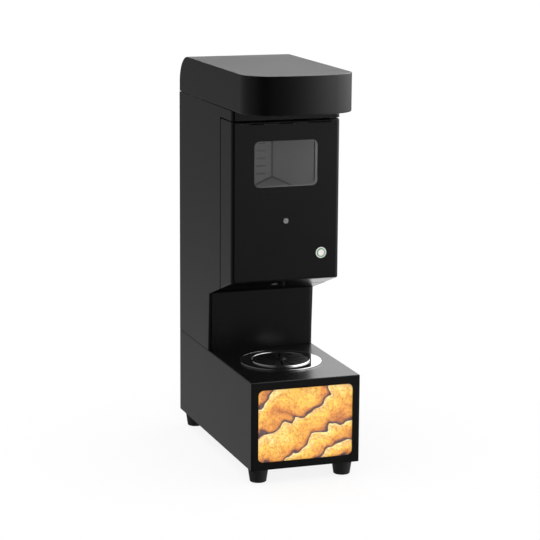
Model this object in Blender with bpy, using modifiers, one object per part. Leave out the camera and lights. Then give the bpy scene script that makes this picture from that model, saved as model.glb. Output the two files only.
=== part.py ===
"""Countertop nacho cheese dispenser, modelled as it is assembled.

Metres, +Z up, the front faces -Y, and the origin lies on the counter under the cabinet's middle.
"""
import math

import bmesh
import bpy
from mathutils import Matrix, Vector

COLLECTION_NAME = "nacho_cheese_dispenser"

# Cabinet
CABINET_WIDTH = 0.210
CABINET_DEPTH = 0.450
FOOT_HEIGHT = 0.028
BASE_HEIGHT = 0.165
NECK_HEIGHT = 0.1125
NECK_DEPTH = 0.195
HEAD_DEPTH = 0.332
UNDERSIDE_RISE = 0.0465
DOOR_DEPTH = 0.069
BAND_HEIGHT = 0.0185
DOOR_TOP_GAP = 0.002
LID_HEIGHT = 0.0715
LID_DEPTH = 0.431

# Sheet metal
SHEET = 0.0015
SHEET_EDGE_RADIUS = 0.0018
HOUSING_BEND_RADIUS = 0.0068
DOOR_BEND_RADIUS = 0.0065
BEND_STEPS = 4

# Gaps
TOUCH_GAP = 0.0003
NECK_SEAM = 0.0004
LID_SEAM = 0.0004
DOOR_SEAM = 0.0015
SLIDE_GAP = 0.0004
CUT_OVERRUN = 0.002

# Lid
LID_CORNER_RADIUS = 0.048
LID_BOW = 0.005
LID_BACK_RADIUS = 0.053
LID_CORNER_STEPS = 7
LID_BOW_STEPS = 6
LID_BACK_STEPS = 7
LID_REST = 0.0035

# Feet
FOOT_TOP_RADIUS = 0.0192
FOOT_BOTTOM_RADIUS = 0.0154
FOOT_EDGE_RADIUS = 0.0016
FOOT_SIDE_INSET = 0.0232
FOOT_END_INSET = 0.028
FOOT_BORE_RADIUS = 0.0026
FOOT_BORE_DEPTH = 0.014
FOOT_STEPS = 20

# Bottom plate and rear panel of the base
PAN_FLANGE = 0.009
BASE_REAR_RECESS = 0.008
BASE_VENT_LENGTH = 0.060
BASE_VENT_HEIGHT = 0.004
BASE_VENT_PITCH = 0.010
BASE_VENT_COUNT = 5
BASE_VENT_TOP_INSET = 0.028
SCREW_HOLE_RADIUS = 0.0023
SCREW_STEPS = 8

# Picture window
PICTURE_FRAME = 0.014
PICTURE_HEIGHT = 0.135
PICTURE_RADIUS = 0.010
PICTURE_LAP = 0.004
PICTURE_COVER_THICKNESS = 0.002
PRINT_THICKNESS = 0.0008
LIGHT_BOX_DEPTH = 0.024
LIGHT_BOX_WALL = 0.0012
LIGHT_BOARD_INSET = 0.010
LIGHT_BOARD_THICKNESS = 0.0016
LED_SIZE = 0.005
LED_HEIGHT = 0.0015
LED_COLUMNS = 4
LED_ROWS = 3
ROUND_CORNER_STEPS = 5

# Electrics in the base
SUPPLY_HEIGHT = 0.036
SUPPLY_SIDE_GAP = 0.014
SUPPLY_MIDDLE_GAP = 0.009
SUPPLY_REAR_GAP = 0.045
SUPPLY_EDGE_RADIUS = 0.0012
TERMINAL_SIZE = (0.060, 0.014, 0.016)
BOARD_THICKNESS = 0.0016
BOARD_SIDE_GAP = 0.016
BOARD_MIDDLE_GAP = 0.015
BOARD_FRONT_GAP = 0.010
BOARD_REAR_GAP = 0.065
BOARD_STANDOFF_HEIGHT = 0.008
BOARD_STANDOFF_RADIUS = 0.003
BOARD_STANDOFF_INSET = 0.006
RELAY_SIZE = (0.016, 0.020, 0.015)
RELAY_LEAST_GAP = 0.006
HEAT_SINK_SIZE = (0.024, 0.036, 0.022)
HEAT_SINK_FIN_COUNT = 4
HEAT_SINK_FIN_GAP = 0.003

# Mains inlet and switch
INLET_SIDE_INSET = 0.053
INLET_CENTRE_HEIGHT = 0.036
INLET_FLANGE_WIDTH = 0.050
INLET_FLANGE_HEIGHT = 0.0245
INLET_FLANGE_THICKNESS = 0.002
INLET_BODY_WIDTH = 0.0272
INLET_BODY_HEIGHT = 0.0196
INLET_BODY_DEPTH = 0.022
INLET_RECESS_WIDTH = 0.0240
INLET_RECESS_HEIGHT = 0.0160
INLET_RECESS_DEPTH = 0.0180
INLET_PIN_SIZE = (0.0020, 0.0040)
INLET_PIN_MOUTH_GAP = 0.0056
INLET_PIN_PITCH = 0.0070
INLET_PIN_RISE = 0.0020
INLET_RADIUS = 0.0025
SWITCH_SIDE_INSET = 0.053
SWITCH_FLANGE_WIDTH = 0.0155
SWITCH_FLANGE_HEIGHT = 0.0310
SWITCH_BODY_WIDTH = 0.0130
SWITCH_BODY_HEIGHT = 0.0272
SWITCH_BODY_DEPTH = 0.020
SWITCH_POCKET_DEPTH = 0.012
ROCKER_WIDTH = 0.0092
ROCKER_LENGTH = 0.0212
ROCKER_DEPTH = 0.0030
ROCKER_END_RISE = 0.0034
ROCKER_MIDDLE_RISE = 0.0016
ROCKER_PIVOT_DEPTH = 0.0040
ROCKER_TILT_DEG = 9.0
ROCKER_END_GAP = 0.0012

# Drip tray
TRAY_CENTRE_Y = -0.084
TRAY_DISC_RADIUS = 0.077
TRAY_DISC_THICKNESS = 0.0018
TRAY_RING_OUTER_RADIUS = 0.0560
TRAY_RING_INNER_RADIUS = 0.0525
TRAY_RING_HEIGHT = 0.0042
BOWL_RADIUS = 0.0478
BOWL_WALL = 0.0012
BOWL_DEPTH = 0.038
BOWL_FLOOR_RADIUS = 0.006
BOWL_RIM_THICKNESS = 0.0012
BOWL_HOLE_GAP = 0.0009
GRATE_THICKNESS = 0.0020
GRATE_SLOT_COUNT = 12
GRATE_SLOT_WIDTH = 0.0030
GRATE_SLOT_START = 0.013
GRATE_SLOT_END_INSET = 0.007
GRATE_HUB_RADIUS = 0.0085
GRATE_HUB_RISE = 0.0030
TRAY_STEPS = 36

# Head and chamber
INSULATION_SPACE = 0.025
CHAMBER_BACK_GAP = 0.023
CHAMBER_FLOOR_HEIGHT = 0.302
CHAMBER_TOP_HEIGHT = 0.447
CHAMBER_HEADROOM = 0.0305
TROUGH_DROP = 0.034
LINER = 0.001
SLOT_SIDE_INSET = 0.024
SLOT_LENGTH = 0.020
SLOT_HEIGHT = 0.004
SLOT_PITCH = 0.0153
SLOT_COUNT = 8
SLOT_FIRST_RISE = 0.008
INTAKE_HOLE_RADIUS = 0.0058
INTAKE_RING_PITCH = 0.015
INTAKE_RINGS = 2
DUCT_WIDTH = 0.100
DUCT_CLEARANCE = 0.003
CEILING_RISE = 0.003

# Rear cover
COVER_RECESS = 0.0045
LOUVRE_LENGTH = 0.120
LOUVRE_HEIGHT = 0.004
LOUVRE_PITCH = 0.014
LOUVRE_COUNT = 6
LOUVRE_BLOCK_HEIGHTS = (0.030, 0.360)
COVER_SCREW_SIDE_INSET = 0.010
COVER_SCREW_END_INSET = 0.014

# Spout collar and connector
SPOUT_RISE = 0.0192
COLLAR_RADIUS = 0.036
COLLAR_THICKNESS = 0.004
COLLAR_EDGE_RADIUS = 0.0012
COLLAR_BACKING = 0.0015
SPOUT_RADIUS = 0.0170
CONNECTOR_BACK = 0.006
CONNECTOR_NOSE_RADIUS = 0.0068
CONNECTOR_NOSE_LENGTH = 0.004
CONNECTOR_BORE_RADIUS = 0.0034
CONNECTOR_TAPER = 0.005
COLLAR_STEPS = 24

# Peristaltic pump
PUMP_FRONT_INSET = 0.023
TUBE_RADIUS = 0.005
TUBE_WALL = 0.0016
TUBE_STRAIGHT = 0.003
TUBE_STEPS_PER_TURN = 24
ROLLER_RADIUS = 0.006
ROLLER_ORBIT = 0.016
ROLLER_LENGTH = 0.012
ROLLER_BORE_RADIUS = 0.0021
ROLLER_PIN_RADIUS = 0.0017
ROLLER_COUNT = 3
ROTOR_DISC_RADIUS = 0.0205
ROTOR_DISC_THICKNESS = 0.0025
ROTOR_HUB_RADIUS = 0.0060
ROTOR_SHAFT_RADIUS = 0.0030
ROTOR_SHAFT_HOLE_RADIUS = 0.0055
ROTOR_CAP_RADIUS = 0.0050
ROTOR_CAP_THICKNESS = 0.0016
PUMP_PLATE_THICKNESS = 0.005
PUMP_PLATE_HALF_WIDTH = 0.031
TRACK_WALL = 0.0105
TRACK_LIP = 0.0022
PUMP_POST_RADIUS = 0.0042
PUMP_POST_INSET = 0.0065
SHELF_THICKNESS = 0.0025
SHELF_HALF_WIDTH = 0.012
WRAP_HALF_ANGLE_DEG = 60.0
TUBE_CLEARANCE = 0.0006
NOZZLE_RADIUS = 0.0068
NOZZLE_TIP_RADIUS = 0.0054
NOZZLE_LENGTH = 0.015
NOZZLE_BORE_RADIUS = 0.0036
NOZZLE_TAPER = 0.004
DOOR_BOTTOM_CLEARANCE = 0.001
GEARBOX_RADIUS = 0.0185
GEARBOX_LENGTH = 0.030
MOTOR_RADIUS = 0.0175
MOTOR_LENGTH = 0.044
MOTOR_CAP_RADIUS = 0.010
MOTOR_CAP_LENGTH = 0.003
SHAFT_GRIP_LENGTH = 0.009
SHAFT_GRIP_GAP = 0.0003
ROUND_STEPS = 20
SMALL_ROUND_STEPS = 8

# Fan and heater
FAN_CENTRE_Y = 0.075
FAN_RADIUS = 0.040
FAN_BLADE_COUNT = 9
FAN_STEPS = 28
FAN_BLADE_HEIGHT = 0.016
FAN_BLADE_THICKNESS = 0.0014
FAN_BLADE_INNER_RADIUS = 0.024
FAN_BLADE_LEAN_DEG = 32.0
FAN_PLATE_THICKNESS = 0.0018
FAN_FLOOR_GAP = 0.004
FAN_HUB_RADIUS = 0.007
FAN_SHAFT_RADIUS = 0.0022
FAN_SHAFT_HOLE_RADIUS = 0.005
FAN_COVER_WIDTH = 0.120
FAN_COVER_FRONT_GAP = 0.012
FAN_COVER_HEADROOM = 0.004
FAN_MOTOR_RADIUS = 0.026
FAN_MOTOR_HEIGHT = 0.034
FAN_MOTOR_FLANGE_RADIUS = 0.032
FAN_MOTOR_FLANGE_HEIGHT = 0.002
FAN_MOTOR_EDGE = 0.004
FAN_SHAFT_GRIP = 0.010
HEATER_TUBE_RADIUS = 0.0032
HEATER_RUN_COUNT = 4
HEATER_RUN_PITCH = 0.026
HEATER_RUN_LENGTH = 0.090
HEATER_LOW_RISE = 0.022
HEATER_STRIP_HEIGHT = 0.006
HEATER_STRIP_OVERHANG = 0.006
HEATER_BEND_STEPS = 6

# Door
DOOR_LIP = 0.0085
WINDOW_SIDE_INSET = 0.0435
WINDOW_HEIGHT = 0.085
WINDOW_RADIUS = 0.010
WINDOW_TOP_INSET = 0.037
WINDOW_LAP = 0.008
WINDOW_THICKNESS = 0.003
GASKET_THICKNESS = 0.002
GASKET_WIDTH = 0.006
INNER_PANEL_MARGIN = 0.015
INNER_PANEL_SHEET = 0.0012
INDICATOR_RADIUS = 0.0055
INDICATOR_WINDOW_GAP = 0.064
INDICATOR_DEPTH = 0.007
INDICATOR_FLANGE_RADIUS = 0.0063
INDICATOR_FLANGE = 0.0008
SEAL_WIDTH = 0.006
SEAL_INSET = 0.002
SEAL_COLLAR_GAP = 0.004
MAGNET_SIZE = (0.0070, 0.0041, 0.020)
MAGNET_HEIGHT = 0.150
MAGNET_FACE_GAP = 0.0004
MAGNET_STRIP = 0.0012
NOZZLE_SLOT_HALF_WIDTH = 0.0085
NOZZLE_SLOT_END_GAP = 0.0015

# Door hinge
HINGE_SIDE_INSET = 0.01905
KNUCKLE_RADIUS = 0.0026
KNUCKLE_COUNT = 7
KNUCKLE_END_WIDTH = 0.0172
KNUCKLE_GAP = 0.0004
HINGE_PIN_RADIUS = 0.0010
HINGE_BORE_RADIUS = 0.0014
HINGE_LEAF_THICKNESS = 0.0012
HINGE_LEAF_HEIGHT = 0.017
HINGE_NOTCH_GAP = 0.0008
HINGE_END_GAP = 0.0010
HINGE_DROP = 0.003
KNUCKLE_STEPS = 10

# Push button
BUTTON_SIDE_INSET = 0.0355
BUTTON_HEIGHT = 0.208
BUTTON_HOLE_RADIUS = 0.0095
BEZEL_RADIUS = 0.0110
BEZEL_THICKNESS = 0.0018
BEZEL_EDGE_RADIUS = 0.0006
BARREL_RADIUS = 0.0091
BARREL_DEPTH = 0.022
LIGHT_RING_OUTER_RADIUS = 0.0082
LIGHT_RING_INNER_RADIUS = 0.0066
LIGHT_RING_DEPTH = 0.004
BUTTON_CAP_RADIUS = 0.0062
BUTTON_CAP_DEPTH = 0.008
BUTTON_CAP_PROUD = 0.0004
BUTTON_TRAVEL = 0.002
BUTTON_NUT_RADIUS = 0.0125
BUTTON_NUT_THICKNESS = 0.003

# Places worked out from the sizes above
HALF_WIDTH = CABINET_WIDTH / 2
HOUSING_HEIGHT = CHAMBER_TOP_HEIGHT + CHAMBER_HEADROOM
BACK_Y = CABINET_DEPTH / 2
FRONT_Y = -BACK_Y
INNER_X = HALF_WIDTH - SHEET - TOUCH_GAP
BASE_TOP_Z = FOOT_HEIGHT + BASE_HEIGHT
PAN_TOP_Z = FOOT_HEIGHT + SHEET
REAR_PANEL_Y = BACK_Y - BASE_REAR_RECESS - SHEET
NECK_FRONT_Y = BACK_Y - NECK_DEPTH
NECK_TOP_Z = BASE_TOP_Z + NECK_HEIGHT
HEAD_FRONT_Y = BACK_Y - HEAD_DEPTH
HEAD_TOP_Z = BASE_TOP_Z + HOUSING_HEIGHT
BAND_BOTTOM_Z = HEAD_TOP_Z - BAND_HEIGHT
DOOR_TOP_Z = BAND_BOTTOM_Z - DOOR_TOP_GAP
SEAM_Y = HEAD_FRONT_Y + DOOR_DEPTH
DOOR_BACK_Y = SEAM_Y - DOOR_SEAM / 2
FRAME_FRONT_Y = SEAM_Y + DOOR_SEAM / 2
FRAME_BACK_Y = FRAME_FRONT_Y + SHEET
COVER_Y = BACK_Y - COVER_RECESS
CHAMBER_HALF_WIDTH = HALF_WIDTH - INSULATION_SPACE
SLOT_COLUMN_X = CHAMBER_HALF_WIDTH - SLOT_SIDE_INSET
CHAMBER_BACK_Y = BACK_Y - CHAMBER_BACK_GAP
CHAMBER_FLOOR_Z = BASE_TOP_Z + CHAMBER_FLOOR_HEIGHT
CHAMBER_TOP_Z = BASE_TOP_Z + CHAMBER_TOP_HEIGHT
TROUGH_Z = CHAMBER_FLOOR_Z - TROUGH_DROP
SPOUT_Z = TROUGH_Z + SPOUT_RISE + TOUCH_GAP
LINER_FRONT_Y = FRAME_BACK_Y + TOUCH_GAP
TOP_PLATE_Z = CHAMBER_TOP_Z + TOUCH_GAP
TOP_PLATE_TOP_Z = TOP_PLATE_Z + SHEET
TOP_PLATE_BACK_Y = COVER_Y - SHEET - TOUCH_GAP
PICTURE_WIDTH = CABINET_WIDTH - 2 * PICTURE_FRAME
PICTURE_CENTRE_Z = FOOT_HEIGHT + BASE_HEIGHT / 2 - SHEET / 2
PUMP_Y = HEAD_FRONT_Y + PUMP_FRONT_INSET
WRAP_RADIUS = ROLLER_ORBIT + ROLLER_RADIUS + TOUCH_GAP + TUBE_RADIUS
WRAP_RISE = 2 * WRAP_RADIUS * math.sin(math.radians(WRAP_HALF_ANGLE_DEG))
HINGE_Z = DOOR_TOP_Z - HINGE_DROP
HINGE_Y = HEAD_FRONT_Y + KNUCKLE_RADIUS
HINGE_HALF_LENGTH = HALF_WIDTH - HINGE_SIDE_INSET
KNUCKLE_PITCH = 2 * (HINGE_HALF_LENGTH - KNUCKLE_END_WIDTH) / (KNUCKLE_COUNT - 2)
WINDOW_WIDTH = CABINET_WIDTH - 2 * WINDOW_SIDE_INSET
WINDOW_CENTRE_Z = DOOR_TOP_Z - WINDOW_TOP_INSET - WINDOW_HEIGHT / 2
INDICATOR_Z = WINDOW_CENTRE_Z - WINDOW_HEIGHT / 2 - INDICATOR_WINDOW_GAP
BUTTON_X = HALF_WIDTH - BUTTON_SIDE_INSET
BUTTON_Z = BASE_TOP_Z + BUTTON_HEIGHT
INLET_CENTRE_X = HALF_WIDTH - INLET_SIDE_INSET
SWITCH_CENTRE_X = SWITCH_SIDE_INSET - HALF_WIDTH
DOOR_SKIN_Y = HEAD_FRONT_Y + SHEET
UNDERSIDE_SLOPE = UNDERSIDE_RISE / (NECK_FRONT_Y - HEAD_FRONT_Y)

# The tube leaves the connector forward, turns down, and bulges round the rotor's left side
SPOUT_TUBE_START_Y = (FRAME_FRONT_Y - TOUCH_GAP - COLLAR_THICKNESS - CONNECTOR_TAPER
                      - CONNECTOR_NOSE_LENGTH - TOUCH_GAP)
DOWN_BEND_RADIUS = SPOUT_TUBE_START_Y - TUBE_STRAIGHT - PUMP_Y
ROTOR_Z = SPOUT_Z - DOWN_BEND_RADIUS - WRAP_RISE
TUBE_END_Z = ROTOR_Z - WRAP_RISE - TUBE_STRAIGHT

# Finishes: colour, roughness, metallic
FINISHES = {
    "black_paint": ((0.020, 0.020, 0.021), 0.36, 0.0),
    "gloss_black": ((0.008, 0.008, 0.008), 0.06, 0.0),
    "black_plastic": ((0.018, 0.018, 0.018), 0.45, 0.0),
    "black_rubber": ((0.015, 0.015, 0.015), 0.75, 0.0),
    "steel": ((0.55, 0.55, 0.56), 0.30, 1.0),
    "zinc": ((0.60, 0.61, 0.62), 0.38, 1.0),
    "chrome": ((0.85, 0.85, 0.86), 0.06, 1.0),
    "aluminium": ((0.72, 0.72, 0.73), 0.35, 1.0),
    "white_plastic": ((0.80, 0.80, 0.78), 0.40, 0.0),
    "clear_plastic": ((0.92, 0.92, 0.92), 0.05, 0.0),
    "smoked_glass": ((0.20, 0.20, 0.21), 0.04, 0.0),
    "picture": ((0.85, 0.55, 0.16), 0.35, 0.0),
    "silicone": ((0.75, 0.76, 0.74), 0.35, 0.0),
    "insulation": ((0.70, 0.66, 0.55), 0.85, 0.0),
    "circuit_green": ((0.03, 0.16, 0.06), 0.45, 0.0),
    "green_light": ((0.20, 0.62, 0.26), 0.30, 0.0),
    "grey_lens": ((0.45, 0.45, 0.46), 0.25, 0.0),
    "brass": ((0.75, 0.60, 0.30), 0.30, 1.0),
}


def underside_z(y):
    """Height of the sloping underside at a depth."""
    return NECK_TOP_Z + (NECK_FRONT_Y - y) * UNDERSIDE_SLOPE


def remove_everything():
    for item in list(bpy.data.objects):
        bpy.data.objects.remove(item, do_unlink=True)


def new_collection(name):
    collection = bpy.data.collections.new(name)
    bpy.context.scene.collection.children.link(collection)
    return collection


def new_material(name, finish):
    colour, roughness, metallic = FINISHES[finish]
    material = bpy.data.materials.new(name)
    material.use_nodes = True
    shader = material.node_tree.nodes["Principled BSDF"]
    shader.inputs["Base Color"].default_value = (*colour, 1.0)
    shader.inputs["Roughness"].default_value = roughness
    shader.inputs["Metallic"].default_value = metallic
    material.diffuse_color = (*colour, 1.0)
    return material


def mesh_of(shape, name):
    mesh = bpy.data.meshes.new(name)
    shape.to_mesh(mesh)
    shape.free()
    return mesh


def add_part(name, shape, finish):
    """Link a shape as one named piece of the dispenser."""
    mesh = shape if isinstance(shape, bpy.types.Mesh) else mesh_of(shape, name)
    item = bpy.data.objects.new(name, mesh)
    PARTS.objects.link(item)
    item.data.materials.append(new_material(name, finish))
    return item


def add_cutter(name, shape):
    """Link a shape that only cuts, or is united with, another one."""
    mesh = shape if isinstance(shape, bpy.types.Mesh) else mesh_of(shape, name)
    item = bpy.data.objects.new(name, mesh)
    CUTTERS.objects.link(item)
    item.hide_render = True
    item.display_type = "WIRE"
    return item


def combine(target, operation, shape, name):
    tool = shape if isinstance(shape, bpy.types.Object) else add_cutter(target.name + "_" + name, shape)
    modifier = target.modifiers.new(name, "BOOLEAN")
    modifier.operation = operation
    modifier.solver = "EXACT"
    modifier.object = tool
    return target


def cut(target, shape, name):
    return combine(target, "DIFFERENCE", shape, name)


def unite(target, shape, name):
    return combine(target, "UNION", shape, name)


def thicken(item, thickness):
    modifier = item.modifiers.new("sheet", "SOLIDIFY")
    modifier.thickness = thickness
    modifier.offset = -1.0
    modifier.use_even_offset = True
    return item


def round_edges(item, width, segments, angle_deg=40.0):
    modifier = item.modifiers.new("edges", "BEVEL")
    modifier.width = width
    modifier.segments = segments
    modifier.limit_method = "ANGLE"
    modifier.angle_limit = math.radians(angle_deg)
    return item


def add_box(shape, low, high):
    """Add a box to a bmesh between two corners."""
    size = Vector(high) - Vector(low)
    middle = (Vector(high) + Vector(low)) / 2
    matrix = Matrix.Translation(middle) @ Matrix.Diagonal((*size, 1.0))
    bmesh.ops.create_cube(shape, size=1.0, matrix=matrix)
    return shape


def box(low, high):
    return add_box(bmesh.new(), low, high)


def centred_box(half_x, y_low, y_high, z_low, z_high):
    return box((-half_x, y_low, z_low), (half_x, y_high, z_high))


def add_rod(shape, start, end, radius, steps):
    """Add a round rod to a bmesh between two points."""
    start = Vector(start)
    along = Vector(end) - start
    turn = Vector((0, 0, 1)).rotation_difference(along).to_matrix().to_4x4()
    matrix = Matrix.Translation(start + along / 2) @ turn
    bmesh.ops.create_cone(shape, cap_ends=True, segments=steps, radius1=radius, radius2=radius,
                          depth=along.length, matrix=matrix)
    return shape


def rod(start, end, radius, steps=ROUND_STEPS):
    return add_rod(bmesh.new(), start, end, radius, steps)


PLANES = {
    "XY": Matrix(((1, 0, 0), (0, 1, 0), (0, 0, 1))),
    "XZ": Matrix(((1, 0, 0), (0, 0, -1), (0, 1, 0))),
    "YZ": Matrix(((0, 0, 1), (1, 0, 0), (0, 1, 0))),
}
PLANE_NORMALS = {"XY": Vector((0, 0, 1)), "XZ": Vector((0, 1, 0)), "YZ": Vector((1, 0, 0))}


def welded(curve):
    """Make a curve a bmesh whose seams are merged."""
    item = bpy.data.objects.new(curve.name, curve)
    CUTTERS.objects.link(item)
    bpy.context.view_layer.update()
    depsgraph = bpy.context.evaluated_depsgraph_get()
    mesh = bpy.data.meshes.new_from_object(item.evaluated_get(depsgraph))
    bpy.data.objects.remove(item, do_unlink=True)
    shape = bmesh.new()
    shape.from_mesh(mesh)
    bpy.data.meshes.remove(mesh)
    bmesh.ops.remove_doubles(shape, verts=shape.verts, dist=TOUCH_GAP / 10)
    bmesh.ops.recalc_face_normals(shape, faces=shape.faces)
    return shape


def plate(outlines, plane, low, high):
    """Turn flat outlines into a slab: a filled 2D curve, extruded, then made a welded mesh."""
    curve = bpy.data.curves.new("outline", "CURVE")
    curve.dimensions = "2D"
    curve.fill_mode = "BOTH"
    curve.extrude = (high - low) / 2
    for outline in outlines:
        spline = curve.splines.new("POLY")
        spline.points.add(len(outline) - 1)
        for point, (u, v) in zip(spline.points, outline):
            point.co = (u, v, 0, 1)
        spline.use_cyclic_u = True
    shape = welded(curve)
    middle = PLANE_NORMALS[plane] * ((low + high) / 2)
    bmesh.ops.transform(shape, matrix=Matrix.Translation(middle) @ PLANES[plane].to_4x4(), verts=shape.verts)
    return shape


def flatten(shape):
    """Join coplanar triangles, so that a bent sheet has whole faces."""
    bmesh.ops.dissolve_limit(shape, angle_limit=math.radians(1.0), verts=shape.verts, edges=shape.edges)
    return shape


def arc(centre, radius, start_deg, end_deg, steps):
    points = []
    for step in range(steps + 1):
        angle = math.radians(start_deg + (end_deg - start_deg) * step / steps)
        points.append((centre[0] + radius * math.cos(angle), centre[1] + radius * math.sin(angle)))
    return points


def rounded_rectangle(half_u, half_v, radius, centre=(0, 0), steps=ROUND_CORNER_STEPS):
    points = []
    for index, (side_u, side_v) in enumerate(((1, 1), (-1, 1), (-1, -1), (1, -1))):
        corner = (centre[0] + side_u * (half_u - radius), centre[1] + side_v * (half_v - radius))
        points += arc(corner, radius, 90 * index, 90 * (index + 1), steps)
    return points


def circle(radius, steps, centre=(0, 0)):
    return arc(centre, radius, 0, 360, steps)[:-1]


def turned(name, profile, steps, place, finish=None, axis="Z", closed=False):
    """Spin a profile of (radius, height) points, listed down its outer side, round an axis."""
    mesh = bpy.data.meshes.new(name)
    edges = [(index, index + 1) for index in range(len(profile) - 1)]
    if closed:
        edges.append((len(profile) - 1, 0))
    mesh.from_pydata([(radius, 0, height) for radius, height in profile], edges, [])
    item = add_part(name, mesh, finish) if finish else add_cutter(name, mesh)
    screw = item.modifiers.new("turn", "SCREW")
    screw.steps = steps
    screw.render_steps = steps
    screw.use_merge_vertices = True
    screw.merge_threshold = TOUCH_GAP / 30
    screw.use_smooth_shade = True
    item.location = place
    if axis == "Y":
        item.rotation_euler = (math.radians(90), 0, 0)
    if axis == "X":
        item.rotation_euler = (0, math.radians(90), 0)
    return item


def delete_faces(shape, chosen):
    faces = [face for face in shape.faces if chosen(face)]
    bmesh.ops.delete(shape, geom=faces, context="FACES")
    return shape


def bend_edges(shape, chosen, radius):
    """Round the chosen edges of a sheet as a bend."""
    edges = [edge for edge in shape.edges if len(edge.link_faces) == 2 and chosen(edge)]
    bmesh.ops.bevel(shape, geom=edges, offset=radius, segments=BEND_STEPS, profile=0.5, affect="EDGES")
    return shape


def is_upright(edge, y):
    low, high = (vert.co for vert in edge.verts)
    return abs(low.x - high.x) < SHEET and abs(low.y - y) < SHEET and abs(high.y - y) < SHEET


def ride(item, pivot):
    """Parent a piece to its joint's empty, where it stands."""
    item.parent = pivot
    item.matrix_parent_inverse = pivot.matrix_world.inverted()
    return item


def new_pivot(name, place):
    pivot = bpy.data.objects.new(name, None)
    CUTTERS.objects.link(pivot)
    pivot.location = place
    pivot.empty_display_size = KNUCKLE_PITCH
    bpy.context.view_layer.update()
    return pivot


def base_housing():
    shape = box((-HALF_WIDTH, FRONT_Y, FOOT_HEIGHT), (HALF_WIDTH, BACK_Y, BASE_TOP_Z))
    delete_faces(shape, lambda face: face.normal.z < -0.5 or face.normal.y > 0.5)
    item = add_part("base_housing", shape, "black_paint")
    round_edges(item, SHEET_EDGE_RADIUS, 2)
    thicken(item, SHEET)
    window = rounded_rectangle(PICTURE_WIDTH / 2, PICTURE_HEIGHT / 2, PICTURE_RADIUS, (0, PICTURE_CENTRE_Z))
    cut(item, plate([window], "XZ", FRONT_Y - CUT_OVERRUN, FRONT_Y + SHEET + CUT_OVERRUN), "window")
    low = (0, TRAY_CENTRE_Y, BASE_TOP_Z - SHEET - CUT_OVERRUN)
    high = (0, TRAY_CENTRE_Y, BASE_TOP_Z + CUT_OVERRUN)
    cut(item, rod(low, high, BOWL_RADIUS + BOWL_HOLE_GAP, TRAY_STEPS), "tray_hole")
    wiring = centred_box(DUCT_WIDTH / 4, NECK_FRONT_Y + NECK_DEPTH / 4, NECK_FRONT_Y + NECK_DEPTH / 2,
                         BASE_TOP_Z - SHEET - CUT_OVERRUN, BASE_TOP_Z + CUT_OVERRUN)
    cut(item, wiring, "wiring_hole")


def foot_places():
    x = HALF_WIDTH - FOOT_SIDE_INSET
    y = BACK_Y - FOOT_END_INSET
    return {"front_left": (-x, -y), "front_right": (x, -y), "rear_left": (-x, y), "rear_right": (x, y)}


def base_bottom_plate():
    shape = box((-INNER_X, FRONT_Y + SHEET + TOUCH_GAP, FOOT_HEIGHT),
                (INNER_X, REAR_PANEL_Y - TOUCH_GAP, FOOT_HEIGHT + PAN_FLANGE))
    delete_faces(shape, lambda face: face.normal.z > 0.5)
    item = add_part("base_bottom_plate", shape, "zinc")
    thicken(item, SHEET)
    holes = bmesh.new()
    for x, y in foot_places().values():
        add_rod(holes, (x, y, FOOT_HEIGHT - CUT_OVERRUN), (x, y, PAN_TOP_Z + CUT_OVERRUN),
                SCREW_HOLE_RADIUS, SCREW_STEPS)
    cut(item, holes, "screw_holes")


def feet():
    top = FOOT_HEIGHT - TOUCH_GAP
    slope = (FOOT_TOP_RADIUS - FOOT_BOTTOM_RADIUS) / top
    profile = [(0, top - FOOT_BORE_DEPTH), (FOOT_BORE_RADIUS, top - FOOT_BORE_DEPTH)]
    profile += [(FOOT_BORE_RADIUS, top), (FOOT_TOP_RADIUS, top)]
    profile += [(FOOT_BOTTOM_RADIUS + slope * FOOT_EDGE_RADIUS, FOOT_EDGE_RADIUS)]
    profile += [(FOOT_BOTTOM_RADIUS - FOOT_EDGE_RADIUS, 0), (0, 0)]
    for name, (x, y) in foot_places().items():
        turned("foot_" + name, profile, FOOT_STEPS, (x, y, 0), "black_rubber")


def base_rear_panel():
    shape = box((-INNER_X, REAR_PANEL_Y, FOOT_HEIGHT),
                (INNER_X, REAR_PANEL_Y + SHEET, BASE_TOP_Z - SHEET - TOUCH_GAP))
    item = add_part("base_rear_panel", shape, "black_paint")
    y_low = REAR_PANEL_Y - CUT_OVERRUN
    y_high = REAR_PANEL_Y + SHEET + CUT_OVERRUN
    centre_z = FOOT_HEIGHT + INLET_CENTRE_HEIGHT
    holes = bmesh.new()
    for centre_x, width, height in ((INLET_CENTRE_X, INLET_BODY_WIDTH, INLET_BODY_HEIGHT),
                                    (SWITCH_CENTRE_X, SWITCH_BODY_WIDTH, SWITCH_BODY_HEIGHT)):
        half_u = width / 2 + TOUCH_GAP
        half_v = height / 2 + TOUCH_GAP
        add_box(holes, (centre_x - half_u, y_low, centre_z - half_v),
                (centre_x + half_u, y_high, centre_z + half_v))
    cut(item, holes, "openings")
    vents = bmesh.new()
    for side in (-1, 1):
        for index in range(BASE_VENT_COUNT):
            z = BASE_TOP_Z - BASE_VENT_TOP_INSET - index * BASE_VENT_PITCH
            middle_x = side * (BASE_VENT_LENGTH / 2 + BASE_VENT_PITCH / 2)
            add_box(vents, (middle_x - BASE_VENT_LENGTH / 2, y_low, z - BASE_VENT_HEIGHT / 2),
                    (middle_x + BASE_VENT_LENGTH / 2, y_high, z + BASE_VENT_HEIGHT / 2))
    cut(item, vents, "vents")


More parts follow.
